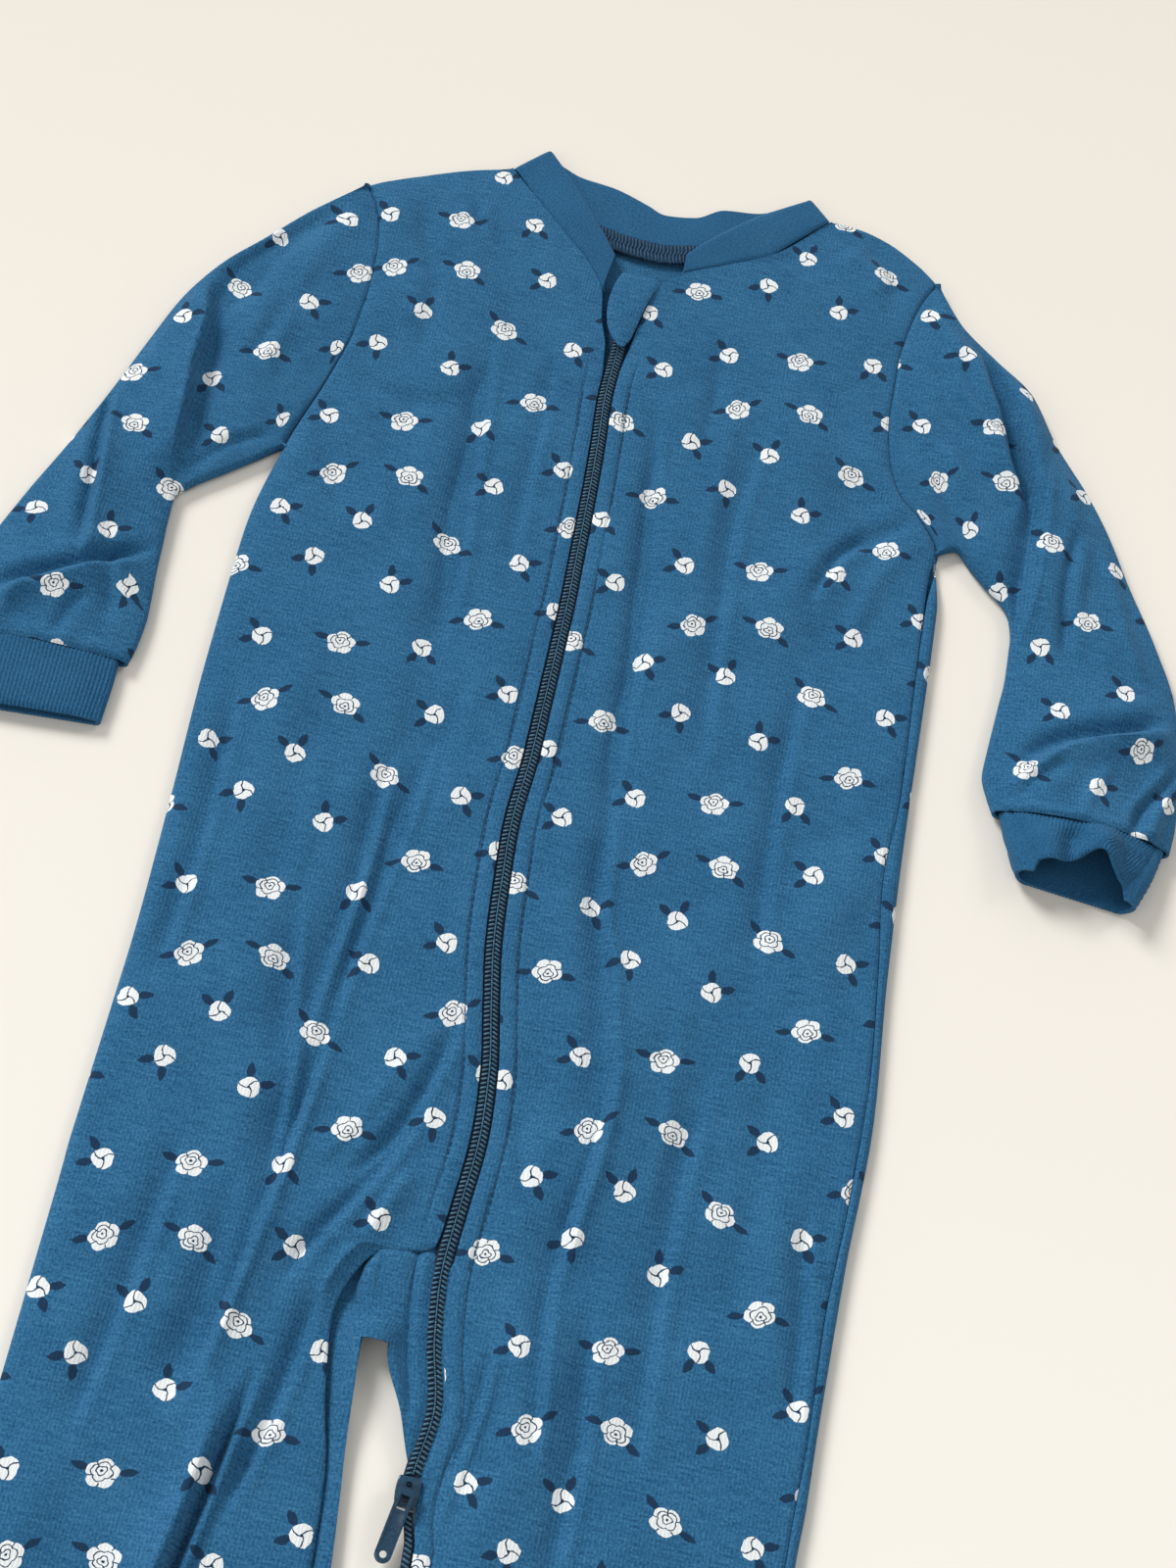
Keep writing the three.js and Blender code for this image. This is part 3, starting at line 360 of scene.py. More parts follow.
# Sizes of the print's drawing, in mm. A ring is the edge of a layer of petals.
rose = {
    "rings": table("radius lobes turn dip raised",
        [5.6, 5, 0.3, 0.18, 0], [3.7, 4, 1.2, 0.24, 0.7], [1.9, 3, 2.6, 0.3, 1.1]),
    "line": 0.22, "eye": 0.5, "flat": 1.2, "ragged": 0.9, "raggedScale": 60.0,
    "leaves": table("degrees reach half width", [143, 7.9, 3.5, 1.6], [-12, 8.3, 3.4, 1.5]),
}
bud = {
    "radius": 3.9, "lobes": 3, "turn": 0.5, "dip": 0.13, "petals": 3, "twist": 0.2,
    "line": 0.24, "eye": 0.55,
    "leaves": table("degrees reach half width", [54, 6.1, 3.1, 1.55], [127, 6, 3.2, 1.5]),
}


def lobedEdge(tree, angle, radius, lobes, turn, dip):
    # a round edge with lobes that meet in cusps, as petals do
    turned = addNode(tree, "Math", [angle, lobes / 2, turn], operation="MULTIPLY_ADD")
    wave = addNode(tree, "Math", [turned], operation="COSINE")
    wave = addNode(tree, "Math", [wave], operation="ABSOLUTE")
    edge = addNode(tree, "Math", [wave, radius * dip, radius * (1 - dip)], operation="MULTIPLY_ADD")
    return edge, wave


def below(tree, value, limit):
    return addNode(tree, "Math", [value, limit], operation="LESS_THAN")


def leafMask(tree, point, leaves):
    mask = 0.0
    for degrees, reach, half, width in leaves["rows"]:
        c, s = math.cos(math.radians(degrees)), math.sin(math.radians(degrees))
        out, over = [addNode(tree, "VectorMath", [point, way], operation="DOT_PRODUCT")
                     .node.outputs["Value"] for way in ((c, s, 0), (-s, c, 0))]
        apart = addNode(tree, "Math", [out, reach], operation="SUBTRACT")
        bow = addNode(tree, "Math", [apart, apart], operation="MULTIPLY")
        edge = addNode(tree, "Math", [bow, -width / half**2, width], operation="MULTIPLY_ADD")
        side = addNode(tree, "Math", [over], operation="ABSOLUTE")
        mask = addNode(tree, "Math", [mask, below(tree, side, edge)], operation="MAXIMUM")
    return mask


def printMasks(tree, cloth):
    # the flower and leaf colours' masks, from each face's place by its nearest motif
    field = addNode(tree, "UVMap", uv_map="motif")
    parts = addNode(tree, "SeparateXYZ", [field]).node.outputs
    isBud = addNode(tree, "Math", [parts["X"], 1.5], operation="GREATER_THAN")
    tall = addNode(tree, "Math", [isBud, 1 - rose["flat"], rose["flat"]], operation="MULTIPLY_ADD")
    size = printChart["field"]
    x = addNode(tree, "Math", [parts["X"], size, -size / 2], operation="MULTIPLY_ADD")
    x = addNode(tree, "Math", [isBud, -2 * size, x], operation="MULTIPLY_ADD")
    y = addNode(tree, "Math", [parts["Y"], size, -size / 2], operation="MULTIPLY_ADD")
    point = addNode(tree, "CombineXYZ", [x, addNode(tree, "Math", [y, tall], operation="MULTIPLY"), 0.0])
    # the ink's edge wanders a little from loop to loop
    ragged = addNode(tree, "TexNoise", {
        "Vector": cloth, "Scale": rose["raggedScale"], "Detail": 1.0}).node.outputs["Color"]
    far = rose["ragged"]
    point = addNode(tree, "VectorMath", [ragged, (far, far, 0), point], operation="MULTIPLY_ADD")
    point = addNode(tree, "VectorMath", [point, (far / 2, far / 2, 0)], operation="SUBTRACT")
    parts = addNode(tree, "SeparateXYZ", [point]).node.outputs
    radius = addNode(tree, "VectorMath", [point], operation="LENGTH").node.outputs["Value"]
    angle = addNode(tree, "Math", [parts["Y"], parts["X"]], operation="ARCTAN2")

    lines = 0.0
    edges = []
    for ringRadius, lobes, turn, dip, raised in rose["rings"]["rows"]:
        place = addNode(tree, "VectorMath", [point, (0, raised, 0)], operation="SUBTRACT")
        apart = addNode(tree, "SeparateXYZ", [place]).node.outputs
        out = addNode(tree, "VectorMath", [place], operation="LENGTH").node.outputs["Value"]
        around = addNode(tree, "Math", [apart["Y"], apart["X"]], operation="ARCTAN2")
        edge, wave = lobedEdge(tree, around, ringRadius, lobes, turn, dip)
        off = addNode(tree, "Math", [out, edge], operation="SUBTRACT")
        off = addNode(tree, "Math", [off], operation="ABSOLUTE")
        if edges:
            lines = addNode(tree, "Math", [lines, below(tree, off, rose["line"])], operation="MAXIMUM")
        edges.append((edge, wave, lobes))
    lines = addNode(tree, "Math", [lines, below(tree, out, rose["eye"])], operation="MAXIMUM")
    # the outer petals part where their edges meet
    edge, wave, lobes = edges[0]
    cusp = addNode(tree, "Math", [wave, radius], operation="MULTIPLY")
    cusp = addNode(tree, "Math", [cusp, 2 / lobes], operation="MULTIPLY")
    narrow, outside = below(tree, cusp, rose["line"]), below(tree, edges[1][0], radius)
    parted = addNode(tree, "Math", [narrow, outside], operation="MINIMUM")
    lines = addNode(tree, "Math", [lines, parted], operation="MAXIMUM")
    roseShape = below(tree, radius, edge)
    roseWhite = addNode(tree, "Math", [roseShape, lines], operation="SUBTRACT", use_clamp=True)

    edge, _ = lobedEdge(tree, angle, bud["radius"], bud["lobes"], bud["turn"], bud["dip"])
    turned = addNode(tree, "Math", [radius, bud["twist"], angle], operation="MULTIPLY_ADD")
    swing = addNode(tree, "Math", [turned, bud["petals"] / 2], operation="MULTIPLY")
    for step in ("SINE", "ABSOLUTE"):
        swing = addNode(tree, "Math", [swing], operation=step)
    swing = addNode(tree, "Math", [swing, radius], operation="MULTIPLY")
    lines = below(tree, swing, bud["line"] * bud["petals"] / 2)
    lines = addNode(tree, "Math", [lines, below(tree, radius, bud["eye"])], operation="MAXIMUM")
    budShape = below(tree, radius, edge)
    budWhite = addNode(tree, "Math", [budShape, lines], operation="SUBTRACT", use_clamp=True)

    white = addNode(tree, "Mix", [isBud, None, roseWhite, budWhite])
    leaves = [leafMask(tree, point, motif["leaves"]) for motif in (rose, bud)]
    leaf = addNode(tree, "Mix", [isBud, None, *leaves])
    flower = addNode(tree, "Mix", [isBud, None, roseShape, budShape])
    return white, flower, leaf


def jersey(name, printed):
    # cotton interlock jersey, yarn-dyed and printed: matt, faintly ribbed, with a short fuzz
    material, tree, shader = newMaterial(name)
    cloth = addNode(tree, "UVMap", uv_map="cloth")
    flecks, grain, blotch, wale = knitGround(tree, cloth)
    # the wale's small share darkens the colour in the grooves between the ribs of loops: painted shade
    shares = ((flecks, 0.9), (grain, 1.55), (blotch, 0.3), (wale, 0.07))
    colour = yarnColour(tree, knit, -0.74, shares, 0.2)
    if printed:
        white, flower, leaf = printMasks(tree, cloth)
        worn = addNode(tree, "Math", [grain, *knit["inkWear"]], operation="MULTIPLY_ADD", use_clamp=True)
        leaf = addNode(tree, "Math", [leaf, worn], operation="MULTIPLY")
        colour = addNode(tree, "MixRGB", [leaf, colour, hexColour(knit["leaf"])])
        through = addNode(tree, "Math", [wale, *knit["clothThrough"]], operation="MULTIPLY_ADD")
        paint = addNode(tree, "MixRGB", [through, hexColour(knit["flower"]), hexColour(knit["pale"])])
        colour = addNode(tree, "MixRGB", [flower, colour, hexColour(knit["line"])])
        colour = addNode(tree, "MixRGB", [white, colour, paint])
    finishKnit(tree, shader, colour, grain, wale)
    return material


rib = {
    "ground": "#285e85", "deep": "#163e5d", "pale": "#3d7398",
    "pitch": 1.5, "height": 0.22,  # mm, drawn coarser than the real 1.1 to show
}


def ribKnit():
    # one-by-one cotton rib: plain dyed, matt, its ribs are in the mesh
    material, tree, shader = newMaterial("ribKnit")
    cloth = addNode(tree, "UVMap", uv_map="cloth")
    flecks, grain, blotch, _ = knitGround(tree, cloth)
    colour = yarnColour(tree, rib, -0.1, ((grain, 1.1), (blotch, 0.3)), 0.25)
    finishKnit(tree, shader, colour, grain, flecks)
    return material


faintGrain = {"scale": 900.0, "roughness": 0.12, "bump": 0.25, "relief": 0.00006, "coatRoughness": 0.12}


def plainFinish(name, colours, roughness, coat=0.0):
    # a smooth finish with a faint grain in its colour and roughness
    material, tree, shader = newMaterial(name)
    place = addNode(tree, "TexCoord").node.outputs["Object"]
    grain = addNode(tree, "TexNoise", {
        "Vector": place, "Scale": faintGrain["scale"], "Detail": 2.0})
    ramp = addNode(tree, "ValToRGB", [grain])
    stops = ramp.node.color_ramp.elements
    stops[0].position, stops[0].color = 0.3, hexColour(colours[0])
    stops[1].position, stops[1].color = 0.75, hexColour(colours[1])
    tree.links.new(ramp, shader.inputs["Base Color"])
    rough = addNode(tree, "Math", [grain, faintGrain["roughness"], roughness], operation="MULTIPLY_ADD")
    tree.links.new(rough, shader.inputs["Roughness"])
    bump = addNode(tree, "Bump", {
        "Height": grain, "Strength": faintGrain["bump"], "Distance": faintGrain["relief"]})
    tree.links.new(bump, shader.inputs["Normal"])
    shader.inputs["Coat Weight"].default_value = coat
    shader.inputs["Coat Roughness"].default_value = faintGrain["coatRoughness"]
    return material


printedJersey = jersey("printedJersey", True)
plainJersey = jersey("plainJersey", False)
cottonRib = ribKnit()
coilNylon = plainFinish("coilNylon", ("#234b64", "#4c7c94"), 0.36)
zipTape = plainFinish("zipTape", ("#0c1c2d", "#122a40"), 0.85)
enamel = plainFinish("enamel", ("#0f334b", "#174663"), 0.22, coat=0.3)
sewingThread = plainFinish("sewingThread", ("#173b58", "#234f70"), 0.8)
loopThread = plainFinish("loopThread", ("#173c58", "#2f6082"), 0.8)
# the jersey of the seam allowance inside the neck, darkened as painted shade
paintedShadeKnit = plainFinish("paintedShadeKnit", ("#0c273d", "#143852"), 0.95)
print("materials made")

# Cloth sizes, in mm
cloth = {"wall": 1.2, "step": 2.7, "backStep": 3.2, "layerGap": 0.35, "rollWidth": 8, "hemY": -620}
frontEdgeZ = 2 * cloth["wall"] + cloth["layerGap"]
zipSizes = {
    "half": 2.8, "rowHalf": 1.5, "rowShift": 1.8, "gap": 0.45, "topZ": 5.3, "topY": 78,
    "openY": -404, "openOver": 12,  # where the chain parts into two rows
}


def roll(d):
    t = np.clip(1 - d / cloth["rollWidth"], 0, 1)
    return np.sqrt(1 - t**2)


# The two fronts. onZip is 1 along the closed chain and 2 along the open row under the slider.
frontNames = "outX outY inX inY outZ midZ inZ bow onZip"
rightFront = table(frontNames,
    [-98, -620, -22, -620, frontEdgeZ, 4.6, frontEdgeZ, 0, 0],
    [-110, -540, -14, -540, frontEdgeZ, 5, frontEdgeZ, 0, 0],
    [-120, -450, -11, -450, frontEdgeZ, 5.4, 4, 0, 0],
    [-123, -400, -14, -400, frontEdgeZ, 5.6, 5, 0, 0],
    [-123.5, -372, -20.5, -372, frontEdgeZ, 5.8, 5.4, 0, 0],
    [-124, -348, -24.5, -346, frontEdgeZ, 5.8, 5.6, 0, 0],
    [-124.3, -332, -20.5, -330, frontEdgeZ, 5.8, 5.6, 0, 0],
    [-124.5, -322, -13, -321, frontEdgeZ, 5.8, 5.4, 0, 0],
    [-124.7, -315, -4, -319.5, frontEdgeZ, 5.7, 5.2, 0, 0],
    [-125, -307, 3.4, -316, frontEdgeZ, 5.6, 5.2, 0, 0],
    [-125, -292, 4.8, -298, frontEdgeZ, 5.6, 5.2, 0, 1],
    [-125, -240, 4, -240, frontEdgeZ, 5.6, 5.2, 0, 1],
    [-127, -178, -7, -178, frontEdgeZ, 5.4, 5.2, 0, 1],
    [-130, -115, -7, -115, frontEdgeZ, 5.4, 5.2, 0, 1],
    [-131, -58, -7, -58, frontEdgeZ, 5.4, 5.2, 0, 1],
    [-126, -15, -8.5, -15, frontEdgeZ, 5.4, 5.2, 0, 1],
    [-117, 22, -11, 16, 4.6, 5.6, 5.3, 0, 1],
    [-112.6, 48, -11.5, 46, 4.8, 5.8, 5.4, 0, 1],
    [-112, 66, -12.5, 66, 4.8, 6, 5.8, 0, 0],
    [-112.2, 76, -16.5, 80, 4.8, 6, 6, 0, 0],
    [-113, 87, -19.5, 95, 4.8, 6, 6.2, 0, 0],
    [-114.4, 97, -27.5, 107.5, 4.6, 6, 6.2, 0, 0],
    [-116.5, 106, -40, 120, 4.2, 6, 6, 0.5, 0],
    [-119.5, 114, -54, 134, 3.6, 5.4, 5.4, 1.2, 0],
    [-125, 122.5, -68.5, 149, frontEdgeZ, 3.2, 4.4, 2.4, 0])
leftFront = table(frontNames,
    [112, -620, 38, -620, 5, 5, 4.6, 0, 2],
    [126, -540, 30, -540, 5, 5.2, 4.8, 0, 2],
    [134, -450, 23, -450, 5, 5.2, 5, 0, 2],
    [136.3, -406, 19, -406, 5, 5.4, 5.1, 0, 2],
    [136.4, -388, 17, -388, 5, 5.4, 5.1, 0, 1],
    [137.5, -350, 14, -350, 5, 5.4, 5.1, 0, 1],
    [137, -312, 12, -312, 5, 5.4, 5.1, 0, 1],
    [139.2, -270, 13, -270, 5, 5.4, 5.1, 0, 1],
    [140.2, -228, 7, -228, 5, 5.4, 5.1, 0, 1],
    [137.3, -180, 0, -180, 5, 5.4, 5.1, 0, 1],
    [133.8, -140, 0, -140, 5, 5.4, 5.1, 0, 1],
    [135.6, -108, 0, -108, 5, 5.4, 5.1, 0, 1],
    [134.4, -55, 0, -55, 5, 5.4, 5.1, 0, 1],
    [133.5, -8, -1, -8, 4.6, 5.4, 5.1, 0, 1],
    [135.5, 6, -1.5, 2, frontEdgeZ, 5.6, 5.1, 0, 1],
    [127, 19.5, -2, 18, 4.4, 5.8, 5.2, 0, 1],
    [117, 29, -3, 34, 5.2, 6, 5.2, 0, 1],
    [110, 46, -3.9, 52, 5.6, 6, 5.4, 0, 1],
    [107.2, 68, -2.2, 72, 5.6, 6, 6, 0, 0],
    [107.2, 92, 3.4, 104, 5.6, 6, 6.2, 0, 0],
    [108.5, 107, 12, 113, 5.4, 6, 6.2, 0.5, 0],
    [111, 121, 28, 122.5, 5, 6, 6.2, 2, 0],
    [114, 131.5, 47, 134.5, 4, 5.4, 5.6, 4, 0],
    [118.3, 141, 69, 160.5, frontEdgeZ, 3.4, 4.4, 6.5, 0])
for front in (rightFront, leftFront):
    front["measured"] = [0, 1, 3]
rightArmpit, rightNeck, leftArmpit, leftNeck = 15, 20, 14, 19


def frontRow(t, place, side):
    place = np.asarray(place, float)
    row = rowAt(t, place)
    onZip = np.minimum(row["onZip"], 1)
    row["zipShare"] = smooth(onZip)
    opened = smooth((row["inY"] - zipSizes["openY"]) / zipSizes["openOver"])
    beside = mix(zipSizes["rowShift"] + zipSizes["rowHalf"], zipSizes["half"], opened)
    onLine = zipX(row["inY"]) + side * (beside + zipSizes["gap"])
    row["inX"] = mix(row["inX"], onLine, row["zipShare"])
    return row


# Where the cloth is sewn beside the zip, and how the stitching pulls it in, in mm
topstitch = {
    "from": 6.1, "depth": 0.5, "width": 0.55, "puff": 0.4, "ripple": 0.1, "every": 6.5, "near": 3.2,
    "length": 2.2, "gap": 0.9, "radius": 0.2,
}
frontForm = {
    "hills": (46, 0.32), "ripples": (13, 0.07),  # length and height of the cloth's unevenness
    "outDrop": 0.5, "outWidth": 0.9, "innerRoll": 3.2, "size": (0.145, 0.79),
    "leftPrint": (40, 31),  # how far the print is shifted on the wearer's left front
}
edgeColumns = {
    "zip": [0, 0.5, 1.1, 1.9, 3, 4.4, 5.4, 5.8, 6.1, 6.4, 6.8, 7.6, 8.8, 10.4, 12],
    "out": [0, 0.4, 0.9, 1.6, 2.5, 3.6, 5],
    "middle": 118,
}


def frontGrid(t, folds, side, seed, innerRoll):
    row = frontRow(t, places(t, cloth["step"]), side)
    row = {key: value[:, None] for key, value in row.items()}
    width = np.hypot(row["inX"] - row["outX"], row["inY"] - row["outY"])
    toZip, toOut = np.array(edgeColumns["zip"]), np.array(edgeColumns["out"])
    between = np.linspace(0, 1, edgeColumns["middle"])[None, 1:-1]
    s = np.concatenate([
        toOut[None] / width,
        mix(toOut[-1] / width, 1 - toZip[-1] / width, between),
        1 - toZip[None, ::-1] / width], 1)
    if side > 0:
        s = s[:, ::-1]
    fromOut, fromIn = s * width, (1 - s) * width
    x = mix(row["outX"], row["inX"], s)
    y = mix(row["outY"], row["inY"], s) + row["bow"] * 4 * s * (1 - s)
    outer, inner = [mix(row[key], row["midZ"], roll(d)) for key, d in (("outZ", fromOut), ("inZ", fromIn))]
    base = mix(outer, inner, smooth(s))
    edge = smooth(np.minimum(fromOut, fromIn) / cloth["rollWidth"])
    lift = (foldLift(folds, x, y) + unevenness(x, y, seed, *frontForm["hills"])) * edge
    z = base + np.maximum(lift, frontEdgeZ - base)
    z += unevenness(x, y, seed + 1, *frontForm["ripples"]) * edge
    sewn = row["zipShare"]
    fromSeam = fromIn - topstitch["from"]
    groove, near = [np.exp(-((fromSeam / topstitch[key]) ** 2)) for key in ("width", "near")]
    z -= sewn * topstitch["depth"] * groove
    z += sewn * topstitch["puff"] * np.sin(math.pi * np.clip(fromIn / topstitch["from"], 0, 1))
    ripple = np.sin(2 * math.pi * y / topstitch["every"] + unevenness(x, y, 5, 30, 2))
    z += sewn * topstitch["ripple"] * near * ripple
    z -= frontForm["outDrop"] * np.exp(-((fromOut / frontForm["outWidth"]) ** 2))
    turned = np.clip(1 - fromIn / frontForm["innerRoll"], 0, 1)
    z -= innerRoll(row["inY"]) * (1 - np.sqrt(1 - turned**2))
    shift = frontForm["leftPrint"] if side > 0 else (0, 0)
    flat = np.stack([x + shift[0], y + shift[1]], 2)
    return np.stack([x, y, z], 2), flat


rightFolds = [
    fold(-2, 10, 8, [-57, 70], [-50, 20], [-50, -40], [-47, -120], [-48, -225]),
    fold(1.6, 9, 9, [-92, -90], [-97, -170], [-88, -230]),
    fold(2.6, 14, 6, [-70, -215], [-60, -265], [-57, -312], [-62, -350], [-69, -395]),
    fold(-2.6, 5, 7, [-69, -300], [-68, -345], [-72, -392]),
    fold(3, 5, 12, [-47, -372], [-50, -400], [-57, -440], [-64, -500]),
    fold(2, 8, 8, [-14, -290], [-30, -320], [-33, -350]),
    fold(1.6, 10, 10, [-98, -380], [-104, -450], [-88, -540]),
    fold(1.4, 8, 8, [-92, 110], [-74, 96], [-60, 60]),
    fold(1.6, 9, 9, [-40, -470], [-48, -530], [-44, -600]),
    # finer creases
    fold(-3, 2, 7, [-59, 66], [-54, 18], [-52, -18], [-49, -44], [-46, -90]),
    fold(1.3, 9, 2.5, [-54, 40], [-50, 0], [-47, -36], [-44, -64]),
    fold(-1.2, 1.8, 5, [-33, 66], [-30, 30], [-30, 0], [-28, -54]),
    fold(-2.6, 1.6, 5, [-54, -130], [-54, -190], [-57, -228], [-58, -262]),
    fold(-2.4, 1.6, 4, [-40, -120], [-42, -158], [-46, -196], [-49, -226], [-50, -262]),
    fold(0.9, 3, 3, [-49, -165], [-51, -196], [-54, -232]),
    fold(-3.4, 1.7, 6, [-73, -200], [-66, -244], [-61, -262], [-59, -282], [-58, -310]),
    fold(-4.6, 1.6, 6, [-50, -246], [-53, -283], [-56, -312], [-60, -345], [-67, -392]),
    fold(-6.2, 1.5, 2.4, [-43, -362], [-49, -404], [-53, -432], [-59, -474], [-66, -522]),
    fold(2.4, 3.5, 3.5, [-58, -366], [-55, -396], [-58, -428], [-64, -462]),
    fold(-3, 1.7, 4, [-30, -330], [-33, -362], [-38, -392], [-44, -420]),
    fold(2.2, 5, 2, [-8, -286], [-17, -310], [-27, -332], [-33, -350]),
    fold(-3, 1.6, 3, [-8, -262], [-22, -296], [-36, -322], [-44, -342]),
    fold(-2.6, 1.6, 3.4, [-6, -232], [-12, -262], [-24, -290], [-36, -306]),
    fold(1.4, 2.2, 6, [-20, -250], [-30, -276], [-44, -300]),
    fold(-1.1, 1.6, 2.2, [-79, 127], [-77, 118], [-73, 108]),
    fold(0.8, 3, 3, [-74, 128], [-72, 118], [-67, 106]),
    fold(-1.1, 4, 4, [-100, 128], [-96, 104], [-86, 76], [-84, 40]),
    fold(-1, 3.5, 4, [-112, 30], [-96, 20], [-72, 20], [-58, 28]),
    fold(1, 4, 4, [-114, 16], [-100, 4], [-84, -24], [-76, -60]),
    fold(-1, 3, 4, [-120, 2], [-106, -16], [-96, -46]),
    fold(-2, 1.8, 5, [-116, -120], [-112, -180], [-114, -250]),
    fold(-2.2, 1.8, 5, [-88, -292], [-92, -350], [-98, -410]),
    fold(0.9, 4, 4, [-80, -130], [-76, -180], [-80, -220]),
    fold(-0.9, 3, 4, [-34, -90], [-36, -130], [-34, -170])]
leftFolds = [
    fold(-1.6, 6, 8, [14, 40], [24, -20], [28, -110], [33, -170]),
    fold(3, 16, 5, [38, -180], [45, -215], [49, -255], [44, -290], [43, -325]),
    fold(2.2, 9, 9, [46, -320], [48, -360], [40, -400], [32, -450]),
    fold(1.5, 10, 10, [120, -120], [112, -200], [118, -300]),
    fold(-1.6, 8, 8, [112, -165], [108, -260], [106, -330]),
    fold(1.6, 10, 10, [72, 60], [80, 0], [76, -70]),
    fold(-2, 8, 8, [88, 32], [104, 18], [114, -6]),
    fold(1.8, 10, 10, [88, -430], [98, -500], [84, -590]),
    fold(1.8, 9, 9, [100, 128], [86, 140], [76, 148]),
    # finer creases
    fold(-2.8, 1.6, 4, [13, 50], [20, 0], [24, -30], [27, -70], [28, -110], [31, -156]),
    fold(0.9, 6, 2, [26, 20], [31, -28], [35, -96]),
    fold(-3.2, 1.7, 5, [30, -134], [33, -180], [40, -202], [45, -228], [48, -252]),
    fold(-4.2, 1.8, 6, [47, -222], [49, -250], [48, -275], [45, -300], [43, -330]),
    fold(-2.4, 1.6, 4, [43, -314], [46, -350], [51, -384]),
    fold(1.2, 1.5, 1.5, [32, -340], [31, -368], [27, -390], [25, -412]),
    fold(-1.1, 1.6, 1.6, [29, -342], [28, -368], [24, -392]),
    fold(-2.4, 1.8, 5, [58, -320], [64, -370], [62, -430]),
    fold(-1.8, 2, 6, [60, 50], [54, 0], [56, -60], [60, -124]),
    fold(0.9, 4, 4, [48, 60], [44, 10], [46, -40]),
    fold(-1.8, 2, 5, [92, -56], [90, -130], [94, -204]),
    fold(1.2, 4, 4, [130, 12], [114, -12], [104, -54]),
    fold(-2.6, 1.8, 3, [128, 20], [110, 6], [96, -8], [88, -34]),
    fold(-1.1, 3, 3, [84, 154], [96, 143], [106, 124]),
    fold(0.9, 3, 3, [76, 146], [90, 134], [98, 116]),
    fold(-2.6, 1.8, 5, [124, -270], [131, -318], [134, -356]),
    fold(-2, 2, 6, [84, -226], [80, -300], [84, -390]),
    fold(0.9, 4, 4, [70, -200], [72, -250], [70, -300]),
    fold(-1.2, 2.4, 3, [20, -262], [28, -286], [40, -304]),
    fold(-0.9, 3, 3, [30, 90], [36, 60], [34, 20])]
seamFold = {"depth": 0.7, "from": -314, "over": 8, "to": -600, "toOver": 60}


def frontPiece(name, t, folds, side, seed, innerRoll):
    grid, flat = frontGrid(t, folds, side, seed, innerRoll)
    piece = clothShell(name, grid, flat, cloth["wall"], [printedJersey, plainJersey])
    return piece


def toSeamEdge(inY):
    # the wearer's right leg ends in a soft fold beside the gap
    share = seamFold["depth"] * smooth((seamFold["from"] - inY) / seamFold["over"])
    return share * smooth((inY - seamFold["to"]) / seamFold["toOver"])


frontRight = frontPiece("frontRightCloth", rightFront, rightFolds, -1, 11, toSeamEdge)
frontLeft = frontPiece("frontLeftCloth", leftFront, leftFolds, 1, 23, lambda inY: 0 * inY)
print("fronts made")


# The back, cut in one with both legs. On the wearer's left it rolls up to meet the front.
def armhole(t, start, at):
    return rowAt(t, mix(start, len(t["rows"]) - 1, at))


backRows = table("leftX leftY gapLeftX gapRightX gapY rightX rightY curl",
    [-98, -620, -22, 41, -620, 116, -620, 1],
    [-110, -540, -12, 31, -540, 130, -540, 1],
    [-120, -450, -4.5, 24.5, -450, 138, -450, 1],
    [-123, -404, -8, 20, -404, 140, -404, 1],
    [-123.2, -388, -10, 11, -388, 140.3, -388, 1],
    [-123.5, -372, -11.5, 4.5, -372, 141, -372, 1],
    [-124, -352, -13, -4.5, -352, 141, -352, 1],
    [-124.5, -330, -13, -3, -330, 141.3, -330, 1],
    [-125, -292, -12, -2, -292, 142, -292, 1],
    [-125, -240, -8, 2, -240, 144.3, -240, 1],
    [-127, -178, -8, 2, -178, 141.4, -178, 1],
    [-130, -115, -6, 4, -115, 140, -115, 1],
    [-131, -58, -5, 5, -58, 139.8, -58, 1],
    [-128.6, -34, -5, 5, -34, 139.4, -20, 0.9],
    [-126, -15, -5, 5, -8, 135.5, 6, 0])
backRows["measured"] = [1, 4, 6]
gapTop = 6
rightNeckPoint, leftNeckPoint = (-68.5, 149), (69, 160.5)
backNeck = {"leftX": -9, "rightX": 1, "y": 128.5, "sag": 4}
curlPoints = table("inset z", [4.6, 0], [1.4, 0.6], [0.1, 2.6], [1.3, 4.6])
topBows = [2.4, -backNeck["sag"], 0, -backNeck["sag"], 6.5]
spanCells = [34, 36, 4, 36, 34]
armSteps = 44
curlSteps = 12
backForm = {
    "size": (0.29, 0.79), "area": 0.20, "print": (22, 17), "crowd": 1.6, "lastGap": 5.5, "curlFrom": 5,
    "top": (8, 2), "armLift": 1.4,
    "tail": table("share z", [0.4, 5.2], [0.8, 5.1], [1, 4.7]),  # the turned-up edge, under the front
}


def backControls(row):
    return [
        (row["leftX"], row["leftY"]),
        ((row["leftX"] + row["gapLeftX"]) / 2, (row["leftY"] + row["gapY"]) / 2),
        (row["gapLeftX"], row["gapY"]),
        (row["gapRightX"], row["gapY"]),
        ((row["gapRightX"] + row["rightX"]) / 2, (row["gapY"] + row["rightY"]) / 2),
        (row["rightX"], row["rightY"])]


def armControls(at):
    left = armhole(rightFront, rightArmpit, at)
    right = armhole(leftFront, leftArmpit, at)
    start = backControls(rowAt(backRows, len(backRows["rows"]) - 1))
    lift = at ** backForm["armLift"]
    low, high = [(backNeck[key], backNeck["y"]) for key in ("leftX", "rightX")]
    ends = [rightNeckPoint, low, high, leftNeckPoint]
    between = [(mix(a[0], b[0], at), mix(a[1], b[1], lift)) for a, b in zip(start[1:5], ends)]
    return [(left["outX"], left["outY"]), *between, (right["outX"], right["outY"])]


